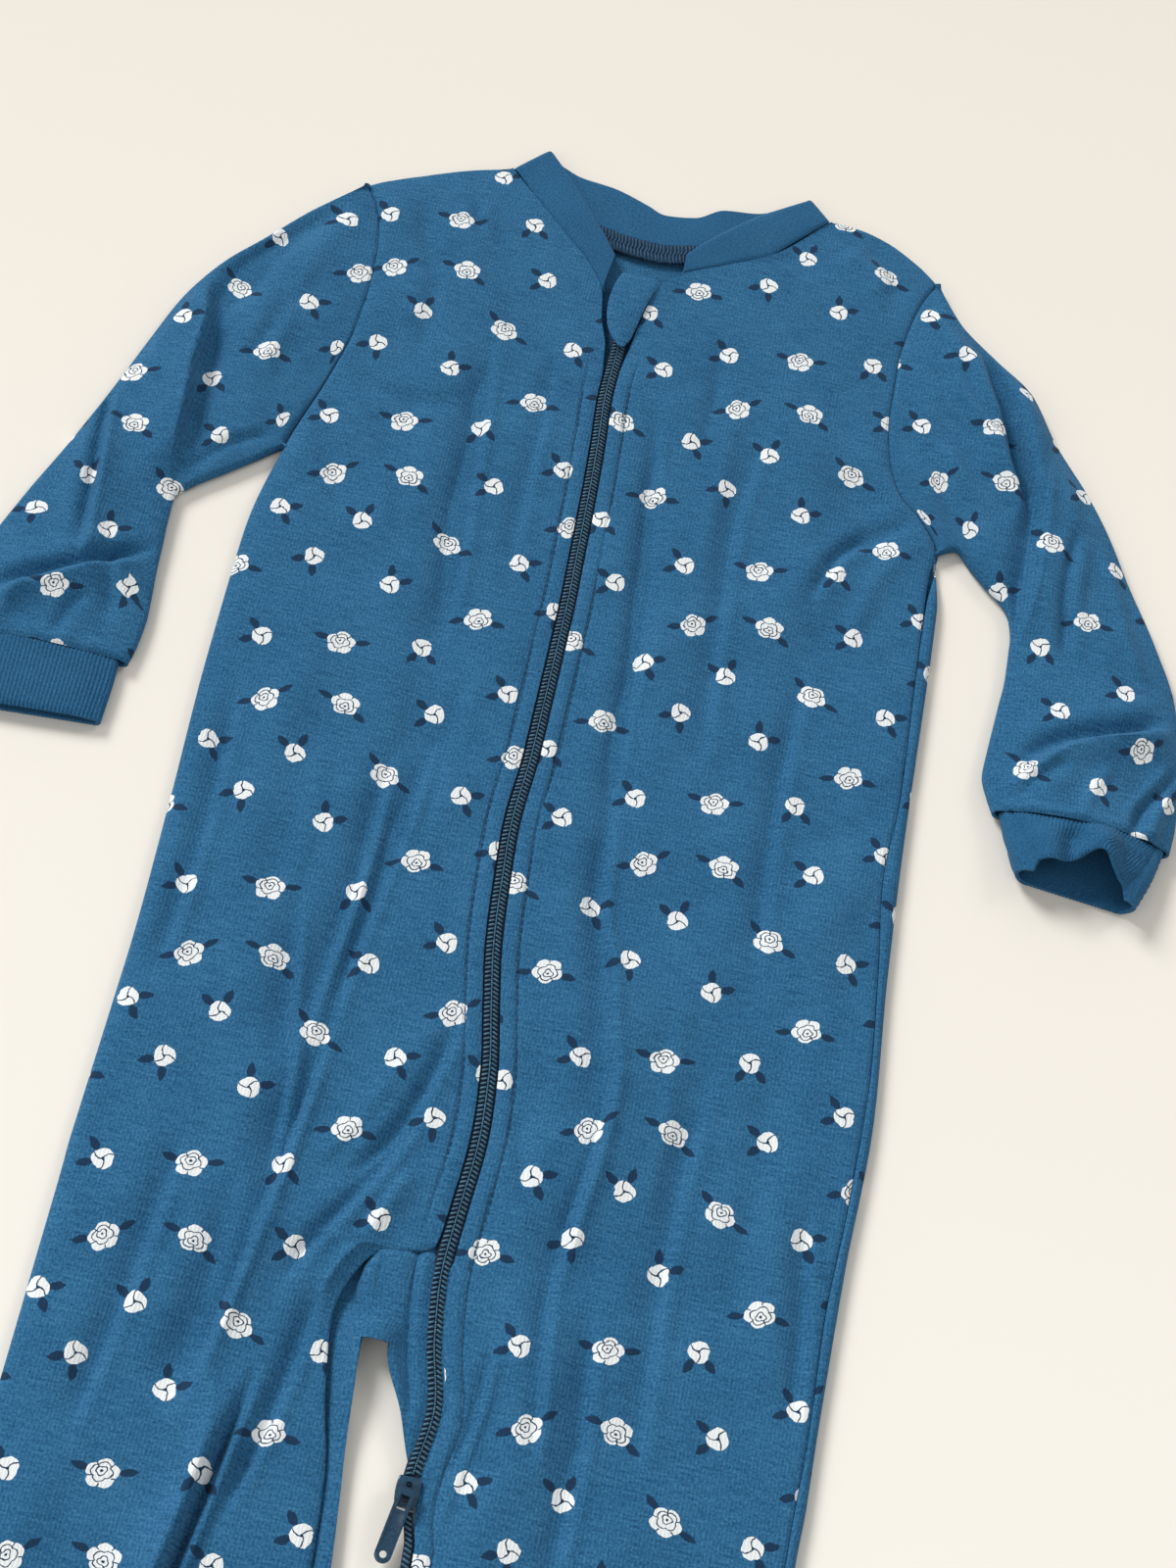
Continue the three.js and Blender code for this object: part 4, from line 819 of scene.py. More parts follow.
def backSpan(controls, span, s, at):
    a, b = controls[span], controls[span + 1]
    return mix(a[0], b[0], s), mix(a[1], b[1], s) + topBows[span] * at**2 * 4 * s * (1 - s)


def leftSeamX(y):
    place = np.interp(y, column(leftFront, "outY"), np.arange(len(leftFront["rows"])))
    return rowAt(leftFront, place)["outX"]


# The strip of the back that turns up beside the zip below the crotch, and the soft fold beside it
innerStrip = {
    "rise": 4.9, "steep": 2.4, "from": -313, "to": -398, "over": (9, 12), "clear": 4.2, "hidden": 18,
    "dip": 1.9, "zipWidth": 4.4, "seamAt": 6.2, "seamWidth": 1.5,
    "edge": table("y x",
        [-640, 43], [-450, 24.5], [-404, 20], [-388, 11], [-372, 4.5], [-358, -3.4], [-352, -6.6],
        [-347, -11], [-342, -15.5], [-335, -18.3], [-328, -17.8], [-320, -14.5], [-313, -10], [-300, -6]),
}


def innerLegLift(x, y):
    s = innerStrip
    gapLine = np.interp(y, column(s["edge"], "y"), column(s["edge"], "x"))
    fromZip = x - zipX(y)
    share = smooth((s["from"] - y) / s["over"][0]) * smooth((y - s["to"]) / s["over"][1] + 1)
    up = np.sqrt(np.clip(1 - (1 - np.clip((x - gapLine) / s["steep"], 0, 1)) ** 2, 0, 1))
    down = 1 - smooth((fromZip - s["clear"]) / s["hidden"])
    underZip = s["dip"] * np.exp(-((fromZip / s["zipWidth"]) ** 6))
    seam = s["dip"] * np.exp(-(((fromZip + zipSizes["half"] + s["seamAt"]) / s["seamWidth"]) ** 2))
    right = (s["rise"] * down - underZip - seam) * up * share
    return np.where(x > gapLine - 0.01, right, 0)


# The top end of the gap between the legs, and how far each leg bulges over the gap
gapForm = {
    "x": -8.5, "y": -350, "wide": 9, "long": (10, 18), "crotch": 10, "from": -345, "fromOver": 10,
    "to": -640, "toOver": 60, "moreY": -352, "moreOver": 24, "more": 2,
    "left": (2.6, 5), "right": (2.4, 4.5),  # height and width
}


def gapTopShare(x, y):
    g = gapForm
    over = np.where(y > g["y"], *g["long"])
    return np.exp(-(((x - g["x"]) / g["wide"]) ** 2) - ((y - g["y"]) / over) ** 2)


def gapLift(x, y):
    # both legs bulge over the gap between them, and the crotch overhangs its top end
    g = gapForm
    legs = smooth((g["from"] - y) / g["fromOver"]) * smooth((y - g["to"]) / g["toOver"])
    left, right = [np.interp(y, column(backRows, "gapY"), column(backRows, key))
                   for key in ("gapLeftX", "gapRightX")]
    legs = legs * (1 + g["more"] * np.exp(-(((y - g["moreY"]) / g["moreOver"]) ** 2)))
    onLeft = x < (left + right) / 2
    (highLeft, wideLeft), (highRight, wideRight) = g["left"], g["right"]
    lift = highLeft * legs * np.exp(-((np.minimum(x - left, 0) / wideLeft) ** 2)) * onLeft
    lift += highRight * legs * np.exp(-((np.maximum(x - right, 0) / wideRight) ** 2)) * ~onLeft
    return np.maximum(lift, g["crotch"] * gapTopShare(x, y))


crotchFolds = [
    fold(0.8, 3, 3, [-22, -344], [-18.5, -362], [-15, -384], [-12, -404], [-9, -424], [-8, -452]),
    fold(-0.8, 1.6, 1.6, [-12, -322], [-12, -331], [-9, -340])]


def backRowPoints(controls, curl, at, seamX):
    xs, ys = [], []
    for span, cells in enumerate(spanCells):
        s = np.arange(cells) / cells
        if span == 1:
            s = 1 - (1 - s) ** backForm["crowd"]  # closer together beside the gap
        elif span == 3:
            s = s ** backForm["crowd"]
        elif span == 4:
            s = s * (cells / (cells - 1)) * (1 - backForm["lastGap"] / (controls[5][0] - controls[4][0]))
        x, y = backSpan(controls, span, s, at)
        xs.append(x)
        ys.append(y)
    x, y = np.concatenate(xs), np.concatenate(ys)
    z = np.maximum(innerLegLift(x, y), gapLift(x, y)) + foldLift(crotchFolds, x, y)
    low, more = backForm["top"]
    z = np.clip(z, 0, low + more * gapTopShare(x, y))
    edgeX, edgeY = controls[5]
    turn = rowAt(curlPoints, np.linspace(0, 3, curlSteps))
    level = np.linspace(edgeX - backForm["curlFrom"], edgeX - 0.1, curlSteps)
    y = np.concatenate([y, np.interp(level, [x[-1], edgeX], [y[-1], edgeY])])
    x = np.concatenate([x, mix(level, edgeX - turn["inset"], curl)])
    z = np.concatenate([z, turn["z"] * curl])
    seam = min(seamX + 0.2, edgeX - 2.2)
    x = np.concatenate([x, mix(edgeX, mix(x[-1], seam, column(backForm["tail"], "share")), curl)])
    z = np.concatenate([z, column(backForm["tail"], "z") * curl])
    y = np.concatenate([y, np.full(len(x) - len(y), edgeY)])
    return np.stack([x, y, z], 1)


def backPiece():
    lines = []
    where = places(backRows, cloth["backStep"])
    for place in where:
        row = rowAt(backRows, place)
        lines.append(backRowPoints(backControls(row), row["curl"], 0, leftSeamX(row["rightY"])))
    for k in range(1, armSteps + 1):
        lines.append(backRowPoints(armControls(k / armSteps), 0, k / armSteps, 0))
    grid = np.stack(lines)
    gapColumn = spanCells[0] + spanCells[1]
    partRow = int(np.argmax(where >= gapTop))
    along = runAcross(grid) + grid[:, :1, 0]
    flat = np.stack([along - backForm["print"][0], grid[:, :, 1] - backForm["print"][1]], 2)

    def keep(i, j):
        return ~((j >= gapColumn) & (j < gapColumn + spanCells[2]) & (i < partRow))

    finishes = [printedJersey, plainJersey]
    piece = clothShell("backCloth", grid, flat, cloth["wall"], finishes, -1, keep=keep)
    return piece


back = backPiece()
print("back made")

# The sleeves: flattened tubes. sideZ is the height of the rounded sides, topZ that of the middle.
tubeNames = "outX outY inX inY topZ sideZ bow"
rightSleeve = table(tubeNames,
    [-125, 122.5, -126, -15, 5.4, 4.8, 0],
    [-143, 104, -133, -22, 6, 5, 6],
    [-159, 83, -145, -33, 6.4, 5, 2],
    [-172, 66, -155, -42, 6.8, 5, 0],
    [-183, 44, -160.5, -50, 7.4, 5, 0],
    [-190, 20, -160, -60, 7.8, 5, 0],
    [-197, -6, -159, -70, 8, 5, 0],
    [-206, -36, -158, -82, 8, 5, 0],
    [-216, -66, -156.5, -95, 8, 5, 0],
    [-223, -92, -155.5, -106, 8, 5, 0],
    [-225, -112, -155.8, -116, 8, 5, 0],
    [-224, -126.8, -157, -125.3, 7.6, 5, 0])
leftSleeve = table(tubeNames,
    [118.3, 141, 135.5, 6, 6, 4.8, 0],
    [131, 123, 143, 10, 7.4, 5, -7],
    [148, 108.5, 150, 3, 8, 5, -3],
    [164, 96, 157, -4, 8.2, 5, 0],
    [178, 72, 164, -10, 8.2, 5, 0],
    [192, 53, 168, -17, 8.2, 5, 0],
    [203, 35, 169.5, -27, 8.2, 5, 0],
    [214, 12, 169.5, -42, 8.2, 5, 0],
    [227, -13, 168, -59, 8.4, 5, 0],
    [237, -38, 166.5, -75, 9.4, 5.4, 0],
    [242, -68, 165.5, -88, 11, 6, 0],
    [241.5, -92, 168, -97, 13.2, 7, 0],
    [240, -104.8, 171, -103.8, 15.4, 8, 0])
for sleeve in (rightSleeve, leftSleeve):
    sleeve["measured"] = [0, 1, 2, 3]
rightSleeveFolds = [
    fold(3, 4, 16, [-178, 52], [-171, 30], [-168, 0], [-165, -28], [-161, -50]),
    fold(-2.6, 7, 7, [-148, 92], [-156, 64], [-164, 40]),
    fold(2, 8, 5, [-197, -18], [-192, -55], [-184, -92]),
    fold(1.8, 6, 6, [-214, -118], [-195, -99], [-170, -86]),
    # finer creases
    fold(2.6, 1.6, 9, [-177, 64], [-171, 33], [-170, 15], [-168, 0], [-166, -30], [-162, -52]),
    fold(-3.8, 7, 1.6, [-172, 56], [-166, 33], [-166, 10], [-164, -10], [-162, -36]),
    fold(-4, 5, 7, [-128, 116], [-142, 98], [-155, 76], [-164, 52], [-166, 32]),
    fold(-3.6, 1.5, 3, [-200, 4], [-197, -16], [-192, -50], [-187, -92]),
    fold(1.6, 7, 1.5, [-195, -4], [-188, -50], [-183, -90]),
    fold(-3.8, 3, 1.5, [-218, -110], [-205, -102], [-190, -93], [-170, -81], [-158, -76]),
    fold(2.8, 1.7, 10, [-220, -118], [-206, -109], [-190, -99], [-170, -87], [-157, -82]),
    fold(-1.3, 2.6, 3, [-136, 66], [-142, 44], [-150, 16]),
    fold(-1.5, 2, 2, [-128, -10], [-140, -17], [-152, -28], [-161, -40]),
    fold(1.4, 3.4, 3.4, [-134, 88], [-141, 40], [-140, 6]),
    fold(-1.3, 2.4, 3, [-182, -66], [-173, -92], [-168, -114]),
    fold(1.3, 3, 3, [-208, -124], [-206, -110], [-202, -98]),
    fold(-1.2, 2.4, 2.4, [-186, -124], [-184, -112], [-178, -102]),
    fold(-1.3, 3, 3, [-150, 96], [-164, 70], [-176, 52])]
leftSleeveFolds = [
    fold(4, 8, 7, [121, 130], [138, 96], [153, 68], [167, 40]),
    fold(-4, 5, 5, [144, 108], [153, 86], [161, 64], [169, 42]),
    fold(2.6, 6, 6, [152, 106], [163, 86], [172, 60], [173, 32]),
    fold(2, 5, 5, [178, 68], [186, 42], [189, 12], [189, -20]),
    fold(2, 7, 7, [176, -92], [195, -74], [215, -64], [240, -54]),
    # finer creases
    fold(-2.6, 3, 2, [130, 110], [140, 85], [155, 65], [168, 40]),
    fold(-6.5, 2.6, 2.2, [140, 116], [150, 92], [159, 68], [168, 42], [172, 24]),
    fold(2.6, 8, 1.7, [176, 66], [177, 36], [177, 8], [174, -26]),
    fold(-3.4, 2, 5, [170, 40], [171, 14], [169, -14], [166, -36]),
    fold(3, 1.6, 12, [172, -97], [195, -74], [215, -64], [242, -51]),
    fold(-3.8, 4, 1.6, [174, -86], [195, -68], [217, -58], [240, -46]),
    fold(-1.6, 3, 3, [128, 46], [140, 24], [153, 8]),
    fold(1.3, 3, 3, [130, 60], [143, 40], [157, 26]),
    fold(-2.6, 2.2, 2.6, [190, 34], [188, 0], [192, -34]),
    fold(1.5, 3.4, 3.4, [200, 32], [212, -8], [225, -40]),
    fold(-1.5, 2.4, 2.4, [178, -100], [186, -88], [198, -78]),
    fold(1.4, 2.6, 2.6, [203, -104], [206, -90], [213, -76]),
    fold(-3, 1.6, 3, [222, -108], [226, -92], [236, -76], [243, -64]),
    fold(2, 6, 1.6, [230, -108], [234, -90], [243, -72])]
tubeSteps = {"flat": 62, "side": 9}
tubeForm = {"hills": (34, 0.3), "ripples": (11, 0.08), "crown": 0.7, "edge": 8}
sleeveForm = {
    "step": 2.1, "seamDip": 0.7, "seamWidth": 1.1, "seamScale": 20, "capRise": 0.3, "seamGap": 0.2,
    "hem": 14,  # about how many mm one row of the tables is long
    "hemBand": (0.7, 4, 3), "hemDrop": (0.5, 0.9),
    "near": [0, 0.012, 0.028, 0.05, 0.08, 0.12, 0.18], "last": [0.22, 0.14, 0.08, 0.04, 0.015, 0],
}


def ringShares(inset):
    # once round a tube: underside, inner side, top, outer side, as a share across and a height
    n, m = tubeSteps["flat"], tubeSteps["side"]
    level = mix(inset, 1 - inset, np.arange(n + 1) / n)
    angle = (-0.5 + np.arange(1, m) / m) * math.pi
    out, rise = inset * np.cos(angle), 0.5 + 0.5 * np.sin(angle)
    s = np.concatenate([level, 1 - inset + out, level[::-1], (inset - out)[::-1]])
    high = np.concatenate([np.zeros(n + 1), rise, np.full(n + 1, 2.0), rise[::-1]])
    return s, high


def sideInset(row):
    # the rounded side's share of a tube's width
    return row["sideZ"] / 2 / math.hypot(row["outX"] - row["inX"], row["outY"] - row["inY"])


def tubeRing(row, edgeAt, folds, topShift=None, topHeight=None, seed=3):
    inset = sideInset(row)
    s, high = ringShares(inset)
    x, y = edgeAt(s)
    onTop = high > 1.5
    crown = np.sin(math.pi * np.clip((s - inset) / (1 - 2 * inset), 0, 1)) ** tubeForm["crown"]
    edge = smooth(np.minimum(s, 1 - s) * tubeForm["edge"])
    lift = foldLift(folds, x, y) + unevenness(x, y, seed, *tubeForm["hills"])
    lift = (lift + unevenness(x, y, seed + 1, *tubeForm["ripples"])) * edge
    top = row["sideZ"] + (row["topZ"] - row["sideZ"]) * crown
    top = top + np.maximum(lift, frontEdgeZ - top)
    if topHeight is not None:
        top = topHeight(s, top)
    z = np.where(onTop, top, high * row["sideZ"])
    if topShift is not None:
        y = y + np.where(onTop, topShift(s, x) * edge, 0)
    return np.stack([x, y, z], 1)


def rowEdge(row):
    def edgeAt(s):
        bow = row["bow"] * 4 * s * (1 - s)
        return mix(row["inX"], row["outX"], s) + bow, mix(row["inY"], row["outY"], s)
    return edgeAt


def roundTube(rings):
    return runAcross(np.concatenate([rings, rings[:, :1]], 1))


def tubeFlat(rings, top, start=(0, 0)):
    # the place on the cut cloth: the tube unrolled both ways from the middle of its top
    around = roundTube(rings)
    around = around - around[:, top:top + 1]
    over = rings[:, top - 4, :2] - rings[:, top + 4, :2]
    over = over / np.linalg.norm(over, axis=1, keepdims=True)
    centre = rings[:, top, :2]
    return centre[:, None] - around[..., None] * over[:, None] + np.array(start)


def topColumn():
    # the column along the middle of a tube's top
    return int(1.5 * (tubeSteps["flat"] + 1)) + tubeSteps["side"]


def sleevePiece(name, t, hole, side, folds, seed, start):
    rings = []
    f = sleeveForm
    last = len(t["rows"]) - 1
    middle = [p for p in places(t, f["step"]) if 0.22 < p < last - 0.25]
    for place in np.concatenate([f["near"], middle, last - np.array(f["last"])]):
        row = rowAt(t, place)
        share, inset = max(0, 1 - place), sideInset(row)

        def seamAt(s, inset=inset):
            return armhole(*hole, np.clip((s - inset) / (1 - 2 * inset), 0, 1))

        def edgeAt(s, straight=rowEdge(row), share=share, seamAt=seamAt):
            (x, y), seam = straight(s), seamAt(s)
            return mix(x, seam["outX"] + side * f["seamGap"], share), mix(y, seam["outY"], share)

        def topHeight(s, top, share=share, place=place, seamAt=seamAt):
            top = mix(top, seamAt(s)["outZ"] + f["capRise"], smooth(share * 1.4 - 0.4))
            top = top - f["seamDip"] * math.exp(-((place * f["seamScale"] / f["seamWidth"]) ** 2))
            toHem = (last - place) * f["hem"]
            (band, bandAt, bandWidth), (drop, dropWidth) = f["hemBand"], f["hemDrop"]
            top = top + band * math.exp(-(((toHem - bandAt) / bandWidth) ** 2))
            return top - drop * math.exp(-((toHem / dropWidth) ** 2))

        rings.append(tubeRing(row, edgeAt, folds, topHeight=topHeight, seed=seed))
    rings = np.stack(rings)
    flat = tubeFlat(rings, topColumn(), start)
    piece = clothShell(name, rings, flat, cloth["wall"], [printedJersey, plainJersey], side, wrap=True)
    return piece


rightHole, leftHole = (rightFront, rightArmpit), (leftFront, leftArmpit)
sleeveRight = sleevePiece("sleeveRightCloth", rightSleeve, rightHole, -1, rightSleeveFolds, 31, (13, 7))
sleeveLeft = sleevePiece("sleeveLeftCloth", leftSleeve, leftHole, 1, leftSleeveFolds, 37, (52, 44))
print("sleeves made")

# Rib bands at the wrists and ankles
rightCuff = table(tubeNames,
    [-219, -127, -160.5, -125.4, 6.9, 5, 0],
    [-218, -142, -160, -138, 7, 5, 0],
    [-216.5, -156, -160, -151.5, 6.2, 4.6, 0])
leftCuff = table(tubeNames,
    [237.6, -105, 173.8, -104, 14.4, 8.2, 0],
    [234, -118, 177, -115, 17, 11, 0],
    [228.5, -132, 182, -128, 19, 13, 0])
rightAnkle = table(tubeNames,
    [-98, -620.3, -22, -620.3, 5, 4, 0],
    [-95, -655, -26, -655, 4.8, 4, 0])
leftAnkle = table(tubeNames,
    [115, -620.3, 41, -620.3, 5, 4, 0],
    [111, -655, 44, -655, 4.8, 4, 0])
leftCuffFolds = [
    fold(-5, 5, 5, [201, -103], [201, -118], [201, -150]),
    fold(3.4, 6, 6, [212, -100], [212, -118], [212, -150])]
ribColumns = 4
bandForm = {
    "wall": 1.6, "step": 1.4, "side": 16, "ribShape": 0.6, "hemDrop": (0.8, 1.1),
    "mouth": 14,  # how far back from its lip the open cuff is drawn up, in mm
    "lip": (7, 0.5), "peak": (6, 209, 7),
}


def ribbed(rings, outward, pitch, height):
    # raises the ribs: their number is whole round the band
    across = np.roll(rings, -1, 1) - np.roll(rings, 1, 1)
    normal = np.cross(across, np.gradient(rings, axis=0))
    normal *= outward / np.linalg.norm(normal, axis=2, keepdims=True)
    run = roundTube(rings)
    count = round(run[:, -1].mean() / pitch)
    phase = 2 * math.pi * count * run[:, :-1] / run[:, -1:]
    wave = np.cos(phase)
    raised = height * np.sign(wave) * np.abs(wave) ** bandForm["ribShape"]
    return rings + normal * raised[..., None]


def cuffPiece(name, t, folds, outward, topShift=None):
    t["measured"] = [1, 3]
    coarse = dict(tubeSteps)
    perimeter = 2 * np.hypot(*(t["rows"][0, :2] - t["rows"][0, 2:4]))
    tubeSteps["flat"] = int(perimeter / 2 / rib["pitch"] * ribColumns)
    tubeSteps["side"] = bandForm["side"]
    drop, dropWidth = bandForm["hemDrop"]
    rings = []
    for place in places(t, bandForm["step"]):
        row = rowAt(t, place)
        toHem = (len(t["rows"]) - 1 - place) * sleeveForm["hem"]
        row["topZ"] = row["topZ"] - drop * math.exp(-((toHem / dropWidth) ** 2))
        rings.append(tubeRing(row, rowEdge(row), folds, topShift=topShift and topShift(toHem), seed=41))
    rings = np.stack(rings)
    flat = tubeFlat(rings, topColumn())
    tubeSteps.update(coarse)
    outside = ribbed(rings, outward, rib["pitch"], rib["height"])
    piece = clothShell(name, outside, flat, bandForm["wall"], [cottonRib], outward, wrap=True,
                       printed=False, base=rings)
    return piece


def mouthShift(toHem):
    # the upper lip of the open cuff is drawn up at its crease
    share = math.exp(-((toHem / bandForm["mouth"]) ** 2))
    (lip, shape), (peak, peakX, width) = bandForm["lip"], bandForm["peak"]
    return lambda s, x: share * (lip * np.sin(math.pi * s) ** shape
                                 + peak * np.exp(-(((x - peakX) / width) ** 2)))


cuffRight = cuffPiece("cuffRightRib", rightCuff, [], -1)
cuffLeft = cuffPiece("cuffLeftRib", leftCuff, leftCuffFolds, 1, mouthShift)
ankleRight = cuffPiece("ankleRightRib", rightAnkle, [], -1)
ankleLeft = cuffPiece("ankleLeftRib", leftAnkle, [], 1)
print("rib bands made")

# The collar: one doubled rib band from one side of the zip round the neck to the other
collar = {
    "wall": 2, "foldZ": 5, "cells": 16, "crown": 0.5, "width": 19, "gap": 0.15, "backGap": 0.3,
    "foldShare": 0.03, "ribs": 0.07, "edgeDrop": 0.9, "seamDrop": 0.5, "dropWidth": 0.8,
    "waves": (61, 30, 0.18),  # their seed, length and height
}
rightCollar = table("place freeX freeY freeZ",
    [rightNeck, -17.5, 115, 6.6], [rightNeck + 1, -24, 124, 7.2], [rightNeck + 2, -33.5, 136, 7.6],
    [rightNeck + 3, -43.5, 149.5, 6.8])
leftCollar = table("place freeX freeY freeZ",
    [leftNeck + 1, 11.5, 123.5, 6.6], [leftNeck + 1.6, 15.5, 129, 7], [leftNeck + 2.3, 24, 138.5, 7.6],
    [leftNeck + 3, 37, 152.5, 6.8])
backCollar = table("x freeX freeY",
    [-58, -49, 158.5], [-44, -39, 154.5], [-26, -25, 153], [-9, -9, 148], [1, -1, 145], [14, 12, 147.5],
    [30, 23, 155], [46, 37, 157.5], [59, 50, 164])
rightPeak, leftPeak = (-55.4, 163.8), (58.5, 170.7)


def backNeckY(x):
    controls = armControls(1.0)
    span = next((k for k in (1, 2, 3) if x <= controls[k + 1][0]), 3)
    s = np.clip((x - controls[span][0]) / (controls[span + 1][0] - controls[span][0]), 0, 1)
    return float(backSpan(controls, span, s, 1)[1])


def collarPiece():
    seams, frees = [], []

    def frontBand(t, front, side, order):
        for k in order:
            band = rowAt(t, k)
            row = frontRow(front, band["place"], side)
            reach = math.hypot(band["freeX"] - row["inX"], band["freeY"] - row["inY"])
            near = collar["gap"] / reach
            x, y = mix(row["inX"], band["freeX"], near), mix(row["inY"], band["freeY"], near)
            seams.append([x, y, row["inZ"] - collar["gap"]])
            frees.append([band["freeX"], band["freeY"], band["freeZ"]])

    def turn(neck, peak, side, angles):
        length = math.hypot(peak[0] - neck[0], peak[1] - neck[1])
        out = (side * (peak[1] - neck[1]) / length, -side * (peak[0] - neck[0]) / length)
        radius = collar["foldZ"] / 2
        for angle in np.radians(angles):
            reach = radius * (math.cos(angle) - 1)
            z = radius * (1 + math.sin(angle))
            foot = [mix(neck[k], peak[k], collar["foldShare"]) + out[k] * reach for k in (0, 1)]
            seams.append([*foot, z])
            frees.append([peak[0] + out[0] * reach, peak[1] + out[1] * reach, z])

    frontBand(rightCollar, rightFront, -1, np.linspace(0, 3, 46))
    turn(rightNeckPoint, rightPeak, -1, np.linspace(90, -90, 13))
    for k in np.linspace(0, 8, 100):
        band = rowAt(backCollar, k)
        seams.append([band["x"], backNeckY(band["x"]) + collar["backGap"], 0])
        frees.append([band["freeX"], band["freeY"], 0])
    turn(leftNeckPoint, leftPeak, 1, np.linspace(-90, 90, 13))
    frontBand(leftCollar, leftFront, 1, np.linspace(3, 0, 46))
    seams, frees = np.array(seams), np.array(frees)
    # even steps along the band, so that its ribs are even
    middle = (seams + frees) / 2
    run = np.concatenate([[0], np.cumsum(np.linalg.norm(np.diff(middle, axis=0), axis=1))])
    even = np.linspace(0, run[-1], int(run[-1] / rib["pitch"] * ribColumns))
    seams, frees = [np.stack([np.interp(even, run, line[:, k]) for k in range(3)], 1)
                    for line in (seams, frees)]
    s = np.concatenate([[0, 0.03, 0.08], np.linspace(0.14, 0.9, collar["cells"] - 4), [0.95, 0.98, 1]])
    grid = seams[:, None] + (frees - seams)[:, None] * s[None, :, None]
    normal = np.cross(np.gradient(grid, axis=1), np.gradient(grid, axis=0))
    normal /= np.linalg.norm(normal, axis=2, keepdims=True)
    ribs = collar["ribs"] * np.cos(2 * math.pi * even / rib["pitch"])[:, None]
    toEdge, toSeam = (1 - s) * collar["width"], s * collar["width"]
    crown = collar["crown"] * np.sin(math.pi * np.clip(s, 0, 1)) ** 0.6
    crown = crown - collar["edgeDrop"] * np.exp(-((toEdge / collar["dropWidth"]) ** 2))
    crown = crown - collar["seamDrop"] * np.exp(-((toSeam / collar["dropWidth"]) ** 2))
    lie = np.abs(normal[..., 2]) ** 2 * (normal[..., 2] > 0)
    bulge = np.sin(math.pi * s)[None]
    waves = unevenness(grid[..., 0], grid[..., 1], *collar["waves"]) * bulge
    grid = grid + normal * ((crown[None] + waves) * lie)[..., None]
    outside = grid + normal * (ribs * bulge**0.3)[..., None]
    flat = np.stack([np.repeat(even[:, None], len(s), 1), np.repeat(toSeam[None], len(even), 0)], 2)
    piece = clothShell("collarRib", outside, flat, collar["wall"], [cottonRib], 1, printed=False, base=grid)
    return piece


collarBand = collarPiece()
print("collar made")


# Short round rods, as loops of coil and stitches: each runs from one point to another
def rods(name, starts, ends, radii, material, sides=6):
    starts, ends = np.array(starts, float), np.array(ends, float)
    radii = np.broadcast_to(np.asarray(radii, float), (len(starts),))
    axis = ends - starts
    length = np.linalg.norm(axis, axis=1, keepdims=True)
    axis = axis / length
    aside = np.cross(axis, np.where(np.abs(axis[:, 2:3]) > 0.9, [[1.0, 0, 0]], [[0, 0, 1.0]]))
    aside /= np.linalg.norm(aside, axis=1, keepdims=True)
    over = np.cross(aside, axis)
    profile = [(-0.55, 0.55), (0, 1), (0.5, 1.06), (1, 1), (1.55, 0.55)]  # place and thickness
    points = []
    for at, thick in profile:
        inner = np.clip(at, 0, 1)
        beyond = (at - inner) * radii[:, None] * 1.4
        centre = starts + axis * (inner * length + beyond)
        for k in range(sides):
            angle = 2 * math.pi * k / sides
            away = aside * math.cos(angle) + over * math.sin(angle)
            points.append(centre + away * radii[:, None] * thick)
    points = np.stack(points, 1)
    rings, faces = len(profile), []
    for i in range(rings - 1):
        for k in range(sides):
            a, b = i * sides + k, i * sides + (k + 1) % sides
            faces.append([a, a + sides, b + sides, b])
    caps = [list(range(sides)), list(range((rings - 1) * sides, rings * sides))[::-1]]
    every = []
    for n in range(len(points)):
        base = n * points.shape[1]
        every += [[base + v for v in f] for f in faces + caps]
    mesh = bpy.data.meshes.new(name)
    mesh.from_pydata((points.reshape(-1, 3) * mm).tolist(), [], every)
    mesh.materials.append(material)
    piece = addToScene(name, mesh)
    smoothBy(piece, 70)
    return piece


def joined(pieces, name):
    bpy.ops.object.select_all(action="DESELECT")
    for piece in pieces:
        piece.select_set(True)
    bpy.context.view_layer.objects.active = pieces[0]
    bpy.ops.object.join()
    pieces[0].name = name
    return pieces[0]


# The zip: slanted loops of coil in two columns on a dark tape, with a cord between them
coil = {
    "pitch": 1.65, "radius": 0.4, "inner": 0.75, "outer": 2.25, "slant": 0.62, "above": 0.15,
    "sink": 0.35, "sliderY": -397, "clear": 5.3, "bedDrop": 0.75, "bedSink": 0.3, "bedExtra": 0.2,
    "cord": 0.34, "bead": 0.35, "beadSink": 0.1,
}
openCoil = {"inner": (1.0, 0.4), "outer": (0.9, 0.3), "slant": 0.45}  # place aside and sunk
frontOpen = {"clear": 5.4, "z": 5.2}
backOpen = {"clear": 7.4, "z": 2.1, "inside": 0.35}


def strip(name, ys, centre, half, z, wall, crown, material):
    side = np.array([-1, -0.6, 0, 0.6, 1])
    x = centre(ys)[:, None] + side[None] * half
    y = np.repeat(ys[:, None], len(side), 1)
    height = z + crown * (1 - side[None] ** 2) + 0 * x
    grid = np.stack([x, y, height], 2)
    flat = np.stack([x, y], 2)
    return clothShell(name, grid, flat, wall, [material], 1, printed=False)


